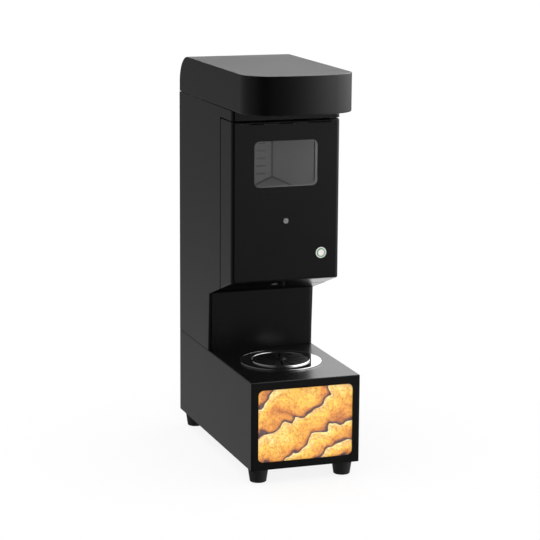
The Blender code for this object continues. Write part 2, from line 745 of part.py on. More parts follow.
def mains_inlet():
    z = FOOT_HEIGHT + INLET_CENTRE_HEIGHT
    seat_y = REAR_PANEL_Y + SHEET + TOUCH_GAP
    mouth_y = seat_y + INLET_FLANGE_THICKNESS
    centre = (INLET_CENTRE_X, z)
    flange = rounded_rectangle(INLET_FLANGE_WIDTH / 2, INLET_FLANGE_HEIGHT / 2, INLET_RADIUS, centre)
    item = add_part("mains_inlet", plate([flange], "XZ", seat_y, mouth_y), "black_plastic")
    body = box((INLET_CENTRE_X - INLET_BODY_WIDTH / 2, mouth_y - INLET_BODY_DEPTH, z - INLET_BODY_HEIGHT / 2),
               (INLET_CENTRE_X + INLET_BODY_WIDTH / 2, mouth_y - INLET_FLANGE_THICKNESS / 2,
                z + INLET_BODY_HEIGHT / 2))
    unite(item, body, "body")
    floor_y = mouth_y - INLET_RECESS_DEPTH
    recess = rounded_rectangle(INLET_RECESS_WIDTH / 2, INLET_RECESS_HEIGHT / 2, INLET_RADIUS, centre)
    cut(item, plate([recess], "XZ", floor_y, mouth_y + CUT_OVERRUN), "recess")
    for name, column, rise in (("neutral", -1, -1), ("earth", 0, 1), ("live", 1, -1)):
        x = INLET_CENTRE_X + column * INLET_PIN_PITCH
        pin_z = z + rise * INLET_PIN_RISE
        pin = box((x - INLET_PIN_SIZE[0] / 2, floor_y + TOUCH_GAP, pin_z - INLET_PIN_SIZE[1] / 2),
                  (x + INLET_PIN_SIZE[0] / 2, mouth_y - INLET_PIN_MOUTH_GAP, pin_z + INLET_PIN_SIZE[1] / 2))
        add_part("inlet_pin_" + name, pin, "brass")


def power_switch():
    z = FOOT_HEIGHT + INLET_CENTRE_HEIGHT
    seat_y = REAR_PANEL_Y + SHEET + TOUCH_GAP
    face_y = seat_y + INLET_FLANGE_THICKNESS
    flange = rounded_rectangle(SWITCH_FLANGE_WIDTH / 2, SWITCH_FLANGE_HEIGHT / 2, INLET_RADIUS,
                               (SWITCH_CENTRE_X, z))
    frame = add_part("power_switch_frame", plate([flange], "XZ", seat_y, face_y), "black_plastic")
    body = box((SWITCH_CENTRE_X - SWITCH_BODY_WIDTH / 2, face_y - SWITCH_BODY_DEPTH,
                z - SWITCH_BODY_HEIGHT / 2),
               (SWITCH_CENTRE_X + SWITCH_BODY_WIDTH / 2, face_y - INLET_FLANGE_THICKNESS / 2,
                z + SWITCH_BODY_HEIGHT / 2))
    unite(frame, body, "body")
    half_u = ROCKER_WIDTH / 2 + TOUCH_GAP
    half_v = ROCKER_LENGTH / 2 + ROCKER_END_GAP
    pocket = box((SWITCH_CENTRE_X - half_u, face_y - SWITCH_POCKET_DEPTH, z - half_v),
                 (SWITCH_CENTRE_X + half_u, face_y + CUT_OVERRUN, z + half_v))
    cut(frame, pocket, "pocket")
    outline = [(-ROCKER_DEPTH, -ROCKER_LENGTH / 2), (-ROCKER_DEPTH, ROCKER_LENGTH / 2),
               (ROCKER_END_RISE, ROCKER_LENGTH / 2), (ROCKER_MIDDLE_RISE, 0),
               (ROCKER_END_RISE, -ROCKER_LENGTH / 2)]
    shape = plate([outline], "YZ", -ROCKER_WIDTH / 2, ROCKER_WIDTH / 2)
    place = Vector((SWITCH_CENTRE_X, face_y - ROCKER_PIVOT_DEPTH, z))
    tilt = Matrix.Rotation(math.radians(-ROCKER_TILT_DEG), 4, "X")
    bmesh.ops.transform(shape, matrix=Matrix.Translation(place) @ tilt, verts=shape.verts)
    rocker = add_part("power_switch_rocker", shape, "black_plastic")
    ride(rocker, new_pivot("rocker_pivot", place))


def picture_parts():
    y = FRONT_Y + SHEET + TOUCH_GAP
    outline = rounded_rectangle(PICTURE_WIDTH / 2 + PICTURE_LAP, PICTURE_HEIGHT / 2 + PICTURE_LAP,
                                PICTURE_RADIUS, (0, PICTURE_CENTRE_Z))
    add_part("picture_cover", plate([outline], "XZ", y, y + PICTURE_COVER_THICKNESS), "clear_plastic")
    y += PICTURE_COVER_THICKNESS + TOUCH_GAP
    add_part("picture_print", plate([outline], "XZ", y, y + PRINT_THICKNESS), "picture")
    y += PRINT_THICKNESS + TOUCH_GAP
    half_x = PICTURE_WIDTH / 2 + PICTURE_LAP
    half_z = PICTURE_HEIGHT / 2 + PICTURE_LAP
    tray = centred_box(half_x, y, y + LIGHT_BOX_DEPTH, PICTURE_CENTRE_Z - half_z, PICTURE_CENTRE_Z + half_z)
    delete_faces(tray, lambda face: face.normal.y < -0.5)
    thicken(add_part("light_box", tray, "white_plastic"), LIGHT_BOX_WALL)
    board_x = half_x - LIGHT_BOARD_INSET
    board_z = half_z - LIGHT_BOARD_INSET
    back = y + LIGHT_BOX_DEPTH - LIGHT_BOX_WALL - TOUCH_GAP
    front = back - LIGHT_BOARD_THICKNESS
    board = add_part("backlight_board", centred_box(board_x, front, back, PICTURE_CENTRE_Z - board_z,
                                                    PICTURE_CENTRE_Z + board_z), "white_plastic")
    leds = bmesh.new()
    for column in range(LED_COLUMNS):
        for row in range(LED_ROWS):
            x = board_x * (2 * (column + 0.5) / LED_COLUMNS - 1)
            z = PICTURE_CENTRE_Z + board_z * (2 * (row + 0.5) / LED_ROWS - 1)
            add_box(leds, (x - LED_SIZE / 2, front - LED_HEIGHT, z - LED_SIZE / 2),
                    (x + LED_SIZE / 2, front + LIGHT_BOARD_THICKNESS / 2, z + LED_SIZE / 2))
    unite(board, leds, "leds")


def power_supply():
    low = (SUPPLY_SIDE_GAP - HALF_WIDTH, NECK_FRONT_Y, PAN_TOP_Z + TOUCH_GAP)
    high = (-SUPPLY_MIDDLE_GAP, BACK_Y - SUPPLY_REAR_GAP, low[2] + SUPPLY_HEIGHT)
    middle_x = (low[0] + high[0]) / 2
    item = add_part("power_supply", box(low, high), "aluminium")
    round_edges(item, SUPPLY_EDGE_RADIUS, 1)
    length, depth, height = TERMINAL_SIZE
    terminal = box((middle_x - length / 2, low[1] - depth, low[2]),
                   (middle_x + length / 2, low[1] + depth, low[2] + height))
    unite(item, terminal, "terminal")


def control_board():
    low_z = PAN_TOP_Z + TOUCH_GAP + BOARD_STANDOFF_HEIGHT
    low = (BOARD_MIDDLE_GAP, NECK_FRONT_Y + BOARD_FRONT_GAP, low_z)
    high = (HALF_WIDTH - BOARD_SIDE_GAP, BACK_Y - BOARD_REAR_GAP, low_z + BOARD_THICKNESS)
    middle_x = (low[0] + high[0]) / 2
    item = add_part("control_board", box(low, high), "circuit_green")
    legs = bmesh.new()
    for leg_x in (low[0] + BOARD_STANDOFF_INSET, high[0] - BOARD_STANDOFF_INSET):
        for leg_y in (low[1] + BOARD_STANDOFF_INSET, high[1] - BOARD_STANDOFF_INSET):
            add_rod(legs, (leg_x, leg_y, PAN_TOP_Z + TOUCH_GAP), (leg_x, leg_y, low_z + BOARD_THICKNESS / 2),
                    BOARD_STANDOFF_RADIUS, SCREW_STEPS)
    unite(item, legs, "standoffs")
    blocks = bmesh.new()
    base_z = low_z + BOARD_THICKNESS / 2
    relay_x, relay_y, relay_z = RELAY_SIZE
    relay_row = high[0] - low[0] - 2 * BOARD_STANDOFF_INSET
    relay_count = max(2, int((relay_row + RELAY_LEAST_GAP) / (relay_x + RELAY_LEAST_GAP)))
    relay_pitch = (relay_row - relay_x) / (relay_count - 1)
    for index in range(relay_count):
        left = low[0] + BOARD_STANDOFF_INSET + index * relay_pitch
        back = high[1] - BOARD_STANDOFF_INSET * 2
        add_box(blocks, (left, back - relay_y, base_z), (left + relay_x, back, base_z + relay_z))
    fin = (HEAT_SINK_SIZE[0] - HEAT_SINK_FIN_GAP * (HEAT_SINK_FIN_COUNT - 1)) / HEAT_SINK_FIN_COUNT
    for index in range(HEAT_SINK_FIN_COUNT):
        left = middle_x - HEAT_SINK_SIZE[0] / 2 + index * (fin + HEAT_SINK_FIN_GAP)
        front = low[1] + BOARD_STANDOFF_INSET * 2
        add_box(blocks, (left, front, base_z),
                (left + fin, front + HEAT_SINK_SIZE[1], base_z + HEAT_SINK_SIZE[2]))
    unite(item, blocks, "components")


def tray_parts():
    z = BASE_TOP_Z + TOUCH_GAP
    centre = (0, TRAY_CENTRE_Y, 0)
    disc_inner = TRAY_RING_OUTER_RADIUS + TOUCH_GAP
    edge = TRAY_DISC_THICKNESS / 3
    top = z + TRAY_DISC_THICKNESS
    disc = [(disc_inner, top), (TRAY_DISC_RADIUS - edge, top), (TRAY_DISC_RADIUS, top - edge),
            (TRAY_DISC_RADIUS, z), (disc_inner, z)]
    turned("tray_disc", disc, TRAY_STEPS, centre, "gloss_black", closed=True)
    crown = (TRAY_RING_OUTER_RADIUS - TRAY_RING_INNER_RADIUS) / 2
    middle = TRAY_RING_INNER_RADIUS + crown
    ring = arc((middle, z + TRAY_RING_HEIGHT - crown), crown, 180, 0, 4)
    ring += [(TRAY_RING_OUTER_RADIUS, z), (TRAY_RING_INNER_RADIUS, z)]
    turned("tray_ring", ring, TRAY_STEPS, centre, "chrome", closed=True)
    rim_radius = TRAY_RING_INNER_RADIUS - SLIDE_GAP
    rim_top = z + BOWL_RIM_THICKNESS
    floor_z = rim_top - BOWL_DEPTH
    inner = BOWL_RADIUS - BOWL_WALL
    corner = (BOWL_RADIUS - BOWL_FLOOR_RADIUS, floor_z + BOWL_FLOOR_RADIUS)
    outer_turn = arc(corner, BOWL_FLOOR_RADIUS, 0, -90, 2)
    inner_turn = arc(corner, BOWL_FLOOR_RADIUS - BOWL_WALL, -90, 0, 2)
    bowl = [(rim_radius, rim_top), (rim_radius, z), (BOWL_RADIUS, z)] + outer_turn + [(0, floor_z)]
    bowl = [(0, floor_z + BOWL_WALL)] + inner_turn + [(inner, rim_top)] + bowl
    turned("drip_bowl", bowl, TRAY_STEPS, centre, "black_plastic")
    grate_z = rim_top + TOUCH_GAP
    grate_top = grate_z + GRATE_THICKNESS
    hub = [(0, grate_top + GRATE_HUB_RISE), (GRATE_HUB_RADIUS * 0.7, grate_top + GRATE_HUB_RISE),
           (GRATE_HUB_RADIUS, grate_top)]
    grate = turned("drip_grate", hub + [(rim_radius, grate_top), (rim_radius, grate_z), (0, grate_z)],
                   TRAY_STEPS, centre, "black_plastic")
    slots = bmesh.new()
    for index in range(GRATE_SLOT_COUNT):
        slot = box((GRATE_SLOT_START, -GRATE_SLOT_WIDTH / 2, grate_z - CUT_OVERRUN),
                   (rim_radius - GRATE_SLOT_END_INSET, GRATE_SLOT_WIDTH / 2, grate_top + CUT_OVERRUN))
        turn = Matrix.Rotation(math.tau * (index + 0.5) / GRATE_SLOT_COUNT, 4, "Z")
        bmesh.ops.transform(slot, matrix=Matrix.Translation(centre) @ turn, verts=slot.verts)
        mesh = mesh_of(slot, "slot")
        slots.from_mesh(mesh)
        bpy.data.meshes.remove(mesh)
    cut(grate, slots, "slots")


def main_housing():
    """One bent sheet: both sides, the neck's front and the band above the door."""
    bottom = BASE_TOP_Z + NECK_SEAM
    outline = [(BACK_Y, bottom), (NECK_FRONT_Y, bottom), (NECK_FRONT_Y, NECK_TOP_Z),
               (FRAME_FRONT_Y, underside_z(FRAME_FRONT_Y)), (FRAME_FRONT_Y, BAND_BOTTOM_Z),
               (HEAD_FRONT_Y, BAND_BOTTOM_Z), (HEAD_FRONT_Y, HEAD_TOP_Z), (BACK_Y, HEAD_TOP_Z)]
    shape = flatten(plate([outline], "YZ", -HALF_WIDTH, HALF_WIDTH))

    def is_open(face):
        on_side = abs(face.normal.x) > 0.5
        centre_y = face.calc_center_median().y
        on_front = face.normal.y < -0.99 and abs(centre_y - FRAME_FRONT_Y) > SHEET
        return not (on_side or on_front)

    delete_faces(shape, is_open)
    bend_edges(shape, lambda edge: is_upright(edge, NECK_FRONT_Y) or is_upright(edge, HEAD_FRONT_Y),
               HOUSING_BEND_RADIUS)
    thicken(add_part("main_housing", shape, "black_paint"), SHEET)


def underside_panel():
    front = FRAME_FRONT_Y
    back = NECK_FRONT_Y - TOUCH_GAP
    outline = [(front, underside_z(front)), (front, underside_z(front) + SHEET),
               (back, underside_z(back) + SHEET), (back, underside_z(back))]
    add_part("underside_panel", plate([outline], "YZ", -INNER_X, INNER_X), "black_paint")


def rear_cover():
    item = add_part("rear_cover", centred_box(INNER_X, COVER_Y - SHEET, COVER_Y, BASE_TOP_Z + TOUCH_GAP,
                                              HEAD_TOP_Z), "black_paint")
    slots = bmesh.new()
    for block in LOUVRE_BLOCK_HEIGHTS:
        for index in range(LOUVRE_COUNT):
            z = BASE_TOP_Z + block + index * LOUVRE_PITCH
            add_box(slots, (-LOUVRE_LENGTH / 2, COVER_Y - SHEET - CUT_OVERRUN, z),
                    (LOUVRE_LENGTH / 2, COVER_Y + CUT_OVERRUN, z + LOUVRE_HEIGHT))
    cut(item, slots, "louvres")
    holes = bmesh.new()
    x = INNER_X - COVER_SCREW_SIDE_INSET
    middle_z = (BASE_TOP_Z + HEAD_TOP_Z) / 2
    for z in (BASE_TOP_Z + COVER_SCREW_END_INSET, middle_z, HEAD_TOP_Z - COVER_SCREW_END_INSET):
        for side in (-1, 1):
            add_rod(holes, (side * x, COVER_Y - SHEET - CUT_OVERRUN, z), (side * x, COVER_Y + CUT_OVERRUN, z),
                    SCREW_HOLE_RADIUS, SCREW_STEPS)
    cut(item, holes, "screw_holes")


def lid_outline():
    """Plan of the lid: square back corners, large front corners and a bowed front."""
    front_y = BACK_Y - LID_DEPTH
    corner_x = HALF_WIDTH - LID_CORNER_RADIUS
    bow_radius = (corner_x ** 2 + LID_BOW ** 2) / (2 * LID_BOW)
    lean = math.degrees(math.asin(corner_x / bow_radius))
    corner_y = front_y + LID_BOW + LID_CORNER_RADIUS * math.cos(math.radians(lean))
    corner_centre_x = corner_x - LID_CORNER_RADIUS * math.sin(math.radians(lean))
    side_x = corner_centre_x + LID_CORNER_RADIUS
    points = [(side_x, BACK_Y), (-side_x, BACK_Y)]
    points += arc((-corner_centre_x, corner_y), LID_CORNER_RADIUS, 180, 270 - lean, LID_CORNER_STEPS)
    points += arc((0, front_y + bow_radius), bow_radius, 270 - lean, 270 + lean, LID_BOW_STEPS)[1:-1]
    points += arc((corner_centre_x, corner_y), LID_CORNER_RADIUS, 270 + lean, 360, LID_CORNER_STEPS)
    stretch = HALF_WIDTH / side_x
    return [(x * stretch, y) for x, y in points]


def lid():
    bottom = HEAD_TOP_Z + LID_SEAM
    top = HEAD_TOP_Z + LID_HEIGHT
    shape = flatten(plate([lid_outline()], "XY", bottom, top))
    back_edge = [edge for edge in shape.edges
                 if all(vert.co.y > BACK_Y - SHEET and vert.co.z > top - SHEET for vert in edge.verts)]
    bmesh.ops.bevel(shape, geom=back_edge, offset=LID_BACK_RADIUS, segments=LID_BACK_STEPS, profile=0.5,
                    affect="EDGES")
    bmesh.ops.bisect_plane(shape, geom=shape.verts[:] + shape.edges[:] + shape.faces[:],
                           plane_co=(0, HEAD_FRONT_Y + LID_REST, 0), plane_no=(0, 1, 0))
    delete_faces(shape, lambda face: face.normal.z < -0.5
                 and face.calc_center_median().y > HEAD_FRONT_Y + LID_REST)
    item = add_part("lid", shape, "black_paint")
    round_edges(item, SHEET_EDGE_RADIUS, 2)
    thicken(item, SHEET)


def front_bulkhead():
    """Frame plate behind the door, with a ceiling folded forward over it."""
    ceiling = BAND_BOTTOM_Z + CEILING_RISE
    foot = underside_z(FRAME_FRONT_Y) + SHEET + TOUCH_GAP
    reach = DOOR_SKIN_Y + HINGE_LEAF_THICKNESS + 2 * TOUCH_GAP
    outline = [(FRAME_FRONT_Y, foot), (FRAME_BACK_Y, foot), (FRAME_BACK_Y, ceiling + SHEET),
               (reach, ceiling + SHEET), (reach, ceiling), (FRAME_FRONT_Y, ceiling)]
    shape = plate([outline], "YZ", -INNER_X, INNER_X)
    bend_edges(shape, lambda edge: is_upright(edge, reach), HOUSING_BEND_RADIUS - SHEET - TOUCH_GAP)
    item = add_part("front_bulkhead", shape, "zinc")
    y_low = FRAME_FRONT_Y - CUT_OVERRUN
    y_high = FRAME_BACK_Y + CUT_OVERRUN
    rise_radius = COLLAR_RADIUS + COLLAR_BACKING
    rise_deg = math.degrees(math.asin((CHAMBER_FLOOR_Z - SPOUT_Z) / rise_radius))
    opening = arc((0, SPOUT_Z), rise_radius, 180 - rise_deg, rise_deg, COLLAR_STEPS // 4)
    opening += [(CHAMBER_HALF_WIDTH, CHAMBER_FLOOR_Z), (CHAMBER_HALF_WIDTH, CHAMBER_TOP_Z)]
    opening += [(-CHAMBER_HALF_WIDTH, CHAMBER_TOP_Z), (-CHAMBER_HALF_WIDTH, CHAMBER_FLOOR_Z)]
    cut(item, plate([opening], "XZ", y_low, y_high), "chamber")
    cut(item, rod((0, y_low, SPOUT_Z), (0, y_high, SPOUT_Z), SPOUT_RADIUS + SLIDE_GAP, COLLAR_STEPS), "spout")
    cut(item, rod((0, y_low, ROTOR_Z), (0, y_high, ROTOR_Z), ROTOR_SHAFT_HOLE_RADIUS), "shaft")
    cut(item, magnets_shape(TOUCH_GAP), "magnet_holes")


def magnets_shape(margin):
    """Both magnets as boxes, grown on all sides but the faces by a margin."""
    shape = bmesh.new()
    width, depth, height = MAGNET_SIZE
    front = DOOR_BACK_Y + MAGNET_FACE_GAP
    middle = INNER_X - DOOR_LIP / 2
    z = BASE_TOP_Z + MAGNET_HEIGHT
    for side in (-1, 1):
        x = side * middle
        add_box(shape, (x - width / 2 - margin, front, z - margin),
                (x + width / 2 + margin, front + depth, z + height + margin))
    return shape


def catch_magnets():
    """Two magnets on the strip that holds them behind the frame plate."""
    back = DOOR_BACK_Y + MAGNET_FACE_GAP + MAGNET_SIZE[1]
    z = BASE_TOP_Z + MAGNET_HEIGHT
    strip = box((-INNER_X, back - MAGNET_STRIP, z), (INNER_X, back, z + MAGNET_SIZE[2]))
    item = add_part("catch_magnets", strip, "zinc")
    unite(item, magnets_shape(0), "magnets")


def door_seal():
    outer_x = INNER_X - SEAL_INSET
    inner_x = outer_x - SEAL_WIDTH
    low = SPOUT_Z - COLLAR_RADIUS - SEAL_WIDTH - SEAL_COLLAR_GAP
    high = DOOR_TOP_Z - SEAL_INSET
    front = DOOR_BACK_Y + TOUCH_GAP
    back = FRAME_FRONT_Y - TOUCH_GAP
    outer = [(-outer_x, low), (outer_x, low), (outer_x, high), (-outer_x, high)]
    hole_low = low + SEAL_WIDTH
    hole_high = high - SEAL_WIDTH
    hole = [(-inner_x, hole_low), (inner_x, hole_low), (inner_x, hole_high), (-inner_x, hole_high)]
    item = add_part("door_seal", plate([outer], "XZ", front, back), "black_rubber")
    cut(item, plate([hole], "XZ", front - CUT_OVERRUN, back + CUT_OVERRUN), "middle")


def chamber_liner():
    half_x = CHAMBER_HALF_WIDTH + LINER
    shape = box((-half_x, LINER_FRONT_Y, TROUGH_Z - LINER), (half_x, CHAMBER_BACK_Y + LINER, CHAMBER_TOP_Z))
    delete_faces(shape, lambda face: abs(face.normal.z) > 0.5 or face.normal.y < -0.5)
    item = add_part("chamber_liner", shape, "steel")
    thicken(item, LINER)
    slots = bmesh.new()
    for column in (-SLOT_COLUMN_X, SLOT_COLUMN_X):
        for index in range(SLOT_COUNT):
            z = CHAMBER_FLOOR_Z + SLOT_FIRST_RISE + index * SLOT_PITCH
            add_box(slots, (column - SLOT_LENGTH / 2, CHAMBER_BACK_Y - CUT_OVERRUN, z - SLOT_HEIGHT / 2),
                    (column + SLOT_LENGTH / 2, CHAMBER_BACK_Y + LINER + CUT_OVERRUN, z + SLOT_HEIGHT / 2))
    cut(item, slots, "air_slots")


def hopper_floor():
    """Bent sheet whose two wings fall to the middle of the chamber."""
    edge_x = CHAMBER_HALF_WIDTH - TOUCH_GAP
    outline = [(-edge_x, CHAMBER_FLOOR_Z), (-edge_x, CHAMBER_FLOOR_Z - LINER), (0, TROUGH_Z - LINER),
               (edge_x, CHAMBER_FLOOR_Z - LINER), (edge_x, CHAMBER_FLOOR_Z), (0, TROUGH_Z)]
    add_part("hopper_floor", plate([outline], "XZ", LINER_FRONT_Y, CHAMBER_BACK_Y - TOUCH_GAP), "steel")


def insulation():
    inner = CHAMBER_HALF_WIDTH + LINER + TOUCH_GAP
    for name, side in (("left", -1), ("right", 1)):
        near, far = sorted((side * inner, side * INNER_X))
        shape = box((near, LINER_FRONT_Y, TROUGH_Z - LINER), (far, CHAMBER_BACK_Y, CHAMBER_TOP_Z))
        add_part("insulation_" + name, shape, "insulation")


def chamber_top():
    item = add_part("chamber_top", centred_box(INNER_X, LINER_FRONT_Y, TOP_PLATE_BACK_Y, TOP_PLATE_Z,
                                               TOP_PLATE_TOP_Z), "zinc")
    low = TOP_PLATE_Z - CUT_OVERRUN
    high = TOP_PLATE_TOP_Z + CUT_OVERRUN
    cut(item, centred_box(DUCT_WIDTH / 2, CHAMBER_BACK_Y + LINER + DUCT_CLEARANCE,
                          TOP_PLATE_BACK_Y - DUCT_CLEARANCE, low, high), "duct")
    holes = bmesh.new()
    add_rod(holes, (0, FAN_CENTRE_Y, low), (0, FAN_CENTRE_Y, high), INTAKE_HOLE_RADIUS, 6)
    for ring in range(1, INTAKE_RINGS):
        for index in range(6 * ring):
            angle = math.tau * index / (6 * ring)
            x = ring * INTAKE_RING_PITCH * math.cos(angle)
            y = FAN_CENTRE_Y + ring * INTAKE_RING_PITCH * math.sin(angle)
            add_rod(holes, (x, y, low), (x, y, high), INTAKE_HOLE_RADIUS, 6)
    cut(item, holes, "intake")


def spout_parts():
    back = FRAME_FRONT_Y - TOUCH_GAP
    front = back - COLLAR_THICKNESS
    edge = COLLAR_EDGE_RADIUS
    bore = SPOUT_RADIUS + SLIDE_GAP
    collar = [(bore, -front - edge), (bore + edge, -front), (COLLAR_RADIUS - edge, -front),
              (COLLAR_RADIUS, -front - edge), (COLLAR_RADIUS, -back), (bore, -back)]
    turned("spout_collar", collar, COLLAR_STEPS, (0, 0, SPOUT_Z), "steel", axis="Y", closed=True)
    nose = front - CONNECTOR_TAPER
    tip = nose - CONNECTOR_NOSE_LENGTH
    heel = FRAME_BACK_Y + CONNECTOR_BACK
    connector = [(CONNECTOR_BORE_RADIUS, -tip), (CONNECTOR_NOSE_RADIUS, -tip), (CONNECTOR_NOSE_RADIUS, -nose),
                 (SPOUT_RADIUS, -front), (SPOUT_RADIUS, -heel), (CONNECTOR_BORE_RADIUS, -heel)]
    turned("bag_connector", connector, COLLAR_STEPS, (0, 0, SPOUT_Z), "white_plastic", axis="Y", closed=True)


def pump_tube_route():
    """Centre line of the tube: straight ends, and an arc for each bend."""
    points = [(0, SPOUT_TUBE_START_Y, SPOUT_Z)]
    points += [(0, y, z) for y, z in arc((PUMP_Y + DOWN_BEND_RADIUS, SPOUT_Z - DOWN_BEND_RADIUS),
                                        DOWN_BEND_RADIUS, 90, 180, TUBE_STEPS_PER_TURN // 4)]
    half = WRAP_HALF_ANGLE_DEG
    steps = max(3, round(TUBE_STEPS_PER_TURN * half / 360))
    bends = ((-WRAP_RADIUS, WRAP_RISE, 0, -half, steps), (0, 0, 180 - half, 180 + half, steps * 2),
             (-WRAP_RADIUS, -WRAP_RISE, half, 0, steps))
    for centre_x, rise, start, end, count in bends:
        bend = arc((centre_x, ROTOR_Z + rise), WRAP_RADIUS, start, end, count)
        points += [(x, PUMP_Y, z) for x, z in bend[1:]]
    points.append((0, PUMP_Y, TUBE_END_Z))
    return points


def swept(points, radius, resolution, closed_ends):
    """Round bar or open tube along a line of points, as a welded bmesh."""
    curve = bpy.data.curves.new("sweep", "CURVE")
    curve.dimensions = "3D"
    curve.bevel_depth = radius
    curve.bevel_resolution = resolution
    curve.use_fill_caps = closed_ends
    spline = curve.splines.new("POLY")
    spline.points.add(len(points) - 1)
    for point, place in zip(spline.points, points):
        point.co = (*place, 1)
    return welded(curve)


def pump_tube():
    shape = swept(pump_tube_route(), TUBE_RADIUS, 1, False)
    thicken(add_part("pump_tube", shape, "silicone"), TUBE_WALL)


def outlet_nozzle():
    top = TUBE_END_Z - TOUCH_GAP
    tip = top - NOZZLE_LENGTH
    profile = [(NOZZLE_BORE_RADIUS, top), (NOZZLE_RADIUS, top), (NOZZLE_RADIUS, tip + NOZZLE_TAPER),
               (NOZZLE_TIP_RADIUS, tip), (NOZZLE_BORE_RADIUS, tip)]
    turned("outlet_nozzle", profile, ROUND_STEPS, (0, PUMP_Y, 0), "black_plastic", closed=True)


def rotor_back_y():
    """Back face of the rotor's rear disc."""
    return PUMP_Y + ROLLER_LENGTH / 2 + TOUCH_GAP + ROTOR_DISC_THICKNESS


def pump_body():
    """Back plate on four posts, with the curved track that the rollers press the tube against."""
    plate_front = rotor_back_y() + SLIDE_GAP
    plate_back = plate_front + PUMP_PLATE_THICKNESS
    shelf_low = TUBE_END_Z + TOUCH_GAP
    top_z = ROTOR_Z + WRAP_RADIUS + TUBE_RADIUS
    inner = WRAP_RADIUS + TUBE_RADIUS + TOUCH_GAP
    outer_x = inner + TRACK_WALL
    track_front = PUMP_Y - TUBE_RADIUS - TRACK_LIP
    back_outline = [(-outer_x, shelf_low), (PUMP_PLATE_HALF_WIDTH, shelf_low), (PUMP_PLATE_HALF_WIDTH, top_z),
                    (-outer_x, top_z)]
    item = add_part("pump_body", plate([back_outline], "XZ", plate_front, plate_back), "white_plastic")
    half = WRAP_HALF_ANGLE_DEG
    bowl = arc((0, ROTOR_Z), inner, 180 - half, 180 + half, TUBE_STEPS_PER_TURN // 2)
    track = bowl + [(-outer_x, bowl[-1][1]), (-outer_x, bowl[0][1])]
    unite(item, plate([track], "XZ", track_front, plate_front + PUMP_PLATE_THICKNESS / 2), "track")
    shelf = box((-SHELF_HALF_WIDTH, track_front, shelf_low),
                (SHELF_HALF_WIDTH, plate_front + PUMP_PLATE_THICKNESS / 2, shelf_low + SHELF_THICKNESS))
    unite(item, shelf, "shelf")
    posts = bmesh.new()
    for x in (-outer_x + PUMP_POST_INSET, PUMP_PLATE_HALF_WIDTH - PUMP_POST_INSET):
        for z in (shelf_low + PUMP_POST_INSET, top_z - PUMP_POST_INSET):
            add_rod(posts, (x, plate_back - PUMP_PLATE_THICKNESS / 2, z), (x, FRAME_FRONT_Y - TOUCH_GAP, z),
                    PUMP_POST_RADIUS, SCREW_STEPS)
    unite(item, posts, "posts")
    cut(item, rod((0, plate_front - CUT_OVERRUN, ROTOR_Z), (0, plate_back + CUT_OVERRUN, ROTOR_Z),
                  ROTOR_SHAFT_HOLE_RADIUS), "shaft_hole")
    hole_top = shelf_low + SHELF_THICKNESS + CUT_OVERRUN
    cut(item, rod((0, PUMP_Y, shelf_low - CUT_OVERRUN), (0, PUMP_Y, hole_top), TUBE_RADIUS + TUBE_CLEARANCE),
        "tube_hole")


def roller_places():
    places = []
    for index in range(ROLLER_COUNT):
        angle = math.pi + math.tau * index / ROLLER_COUNT
        places.append((ROLLER_ORBIT * math.cos(angle), PUMP_Y, ROTOR_Z + ROLLER_ORBIT * math.sin(angle)))
    return places


def pump_rotor():
    """Two discs on the shaft, joined by the rollers' pins."""
    back = rotor_back_y()
    rear_disc_front = back - ROTOR_DISC_THICKNESS
    front_disc_back = PUMP_Y - ROLLER_LENGTH / 2 - TOUCH_GAP
    front = front_disc_back - ROTOR_DISC_THICKNESS
    cap = front - ROTOR_CAP_THICKNESS
    grip = FRAME_BACK_Y + TOUCH_GAP + SHAFT_GRIP_LENGTH
    profile = [(0, -cap), (ROTOR_CAP_RADIUS, -cap), (ROTOR_CAP_RADIUS, -front), (ROTOR_DISC_RADIUS, -front),
               (ROTOR_DISC_RADIUS, -front_disc_back), (ROTOR_HUB_RADIUS, -front_disc_back),
               (ROTOR_HUB_RADIUS, -rear_disc_front), (ROTOR_DISC_RADIUS, -rear_disc_front),
               (ROTOR_DISC_RADIUS, -back), (ROTOR_SHAFT_RADIUS, -back), (ROTOR_SHAFT_RADIUS, -grip),
               (0, -grip)]
    item = turned("pump_rotor", profile, ROUND_STEPS, (0, 0, ROTOR_Z), "black_plastic", axis="Y")
    pins = bmesh.new()
    for x, _, z in roller_places():
        add_rod(pins, (x, front_disc_back - ROTOR_DISC_THICKNESS / 2, z),
                (x, rear_disc_front + ROTOR_DISC_THICKNESS / 2, z), ROLLER_PIN_RADIUS, SMALL_ROUND_STEPS)
    unite(item, pins, "pins")
    pivot = new_pivot("rotor_pivot", (0, PUMP_Y, ROTOR_Z))
    ride(item, pivot)
    for index, place in enumerate(roller_places(), start=1):
        half = ROLLER_LENGTH / 2
        ring = [(ROLLER_BORE_RADIUS, half), (ROLLER_RADIUS, half), (ROLLER_RADIUS, -half),
                (ROLLER_BORE_RADIUS, -half)]
        roller = turned("pump_roller_%d" % index, ring, ROUND_STEPS, place, "steel", axis="Y", closed=True)
        ride(roller, pivot)


def pump_gearmotor():
    front = FRAME_BACK_Y + TOUCH_GAP
    bore_end = front + SHAFT_GRIP_LENGTH + SHAFT_GRIP_GAP
    bore = ROTOR_SHAFT_RADIUS + SHAFT_GRIP_GAP
    gearbox_back = front + GEARBOX_LENGTH
    motor_back = gearbox_back + MOTOR_LENGTH
    cap_back = motor_back + MOTOR_CAP_LENGTH
    profile = [(0, -bore_end), (bore, -bore_end), (bore, -front), (GEARBOX_RADIUS, -front),
               (GEARBOX_RADIUS, -gearbox_back), (MOTOR_RADIUS, -gearbox_back), (MOTOR_RADIUS, -motor_back),
               (MOTOR_CAP_RADIUS, -motor_back), (MOTOR_CAP_RADIUS, -cap_back), (0, -cap_back)]
    turned("pump_gearmotor", profile, ROUND_STEPS, (0, 0, ROTOR_Z), "steel", axis="Y")


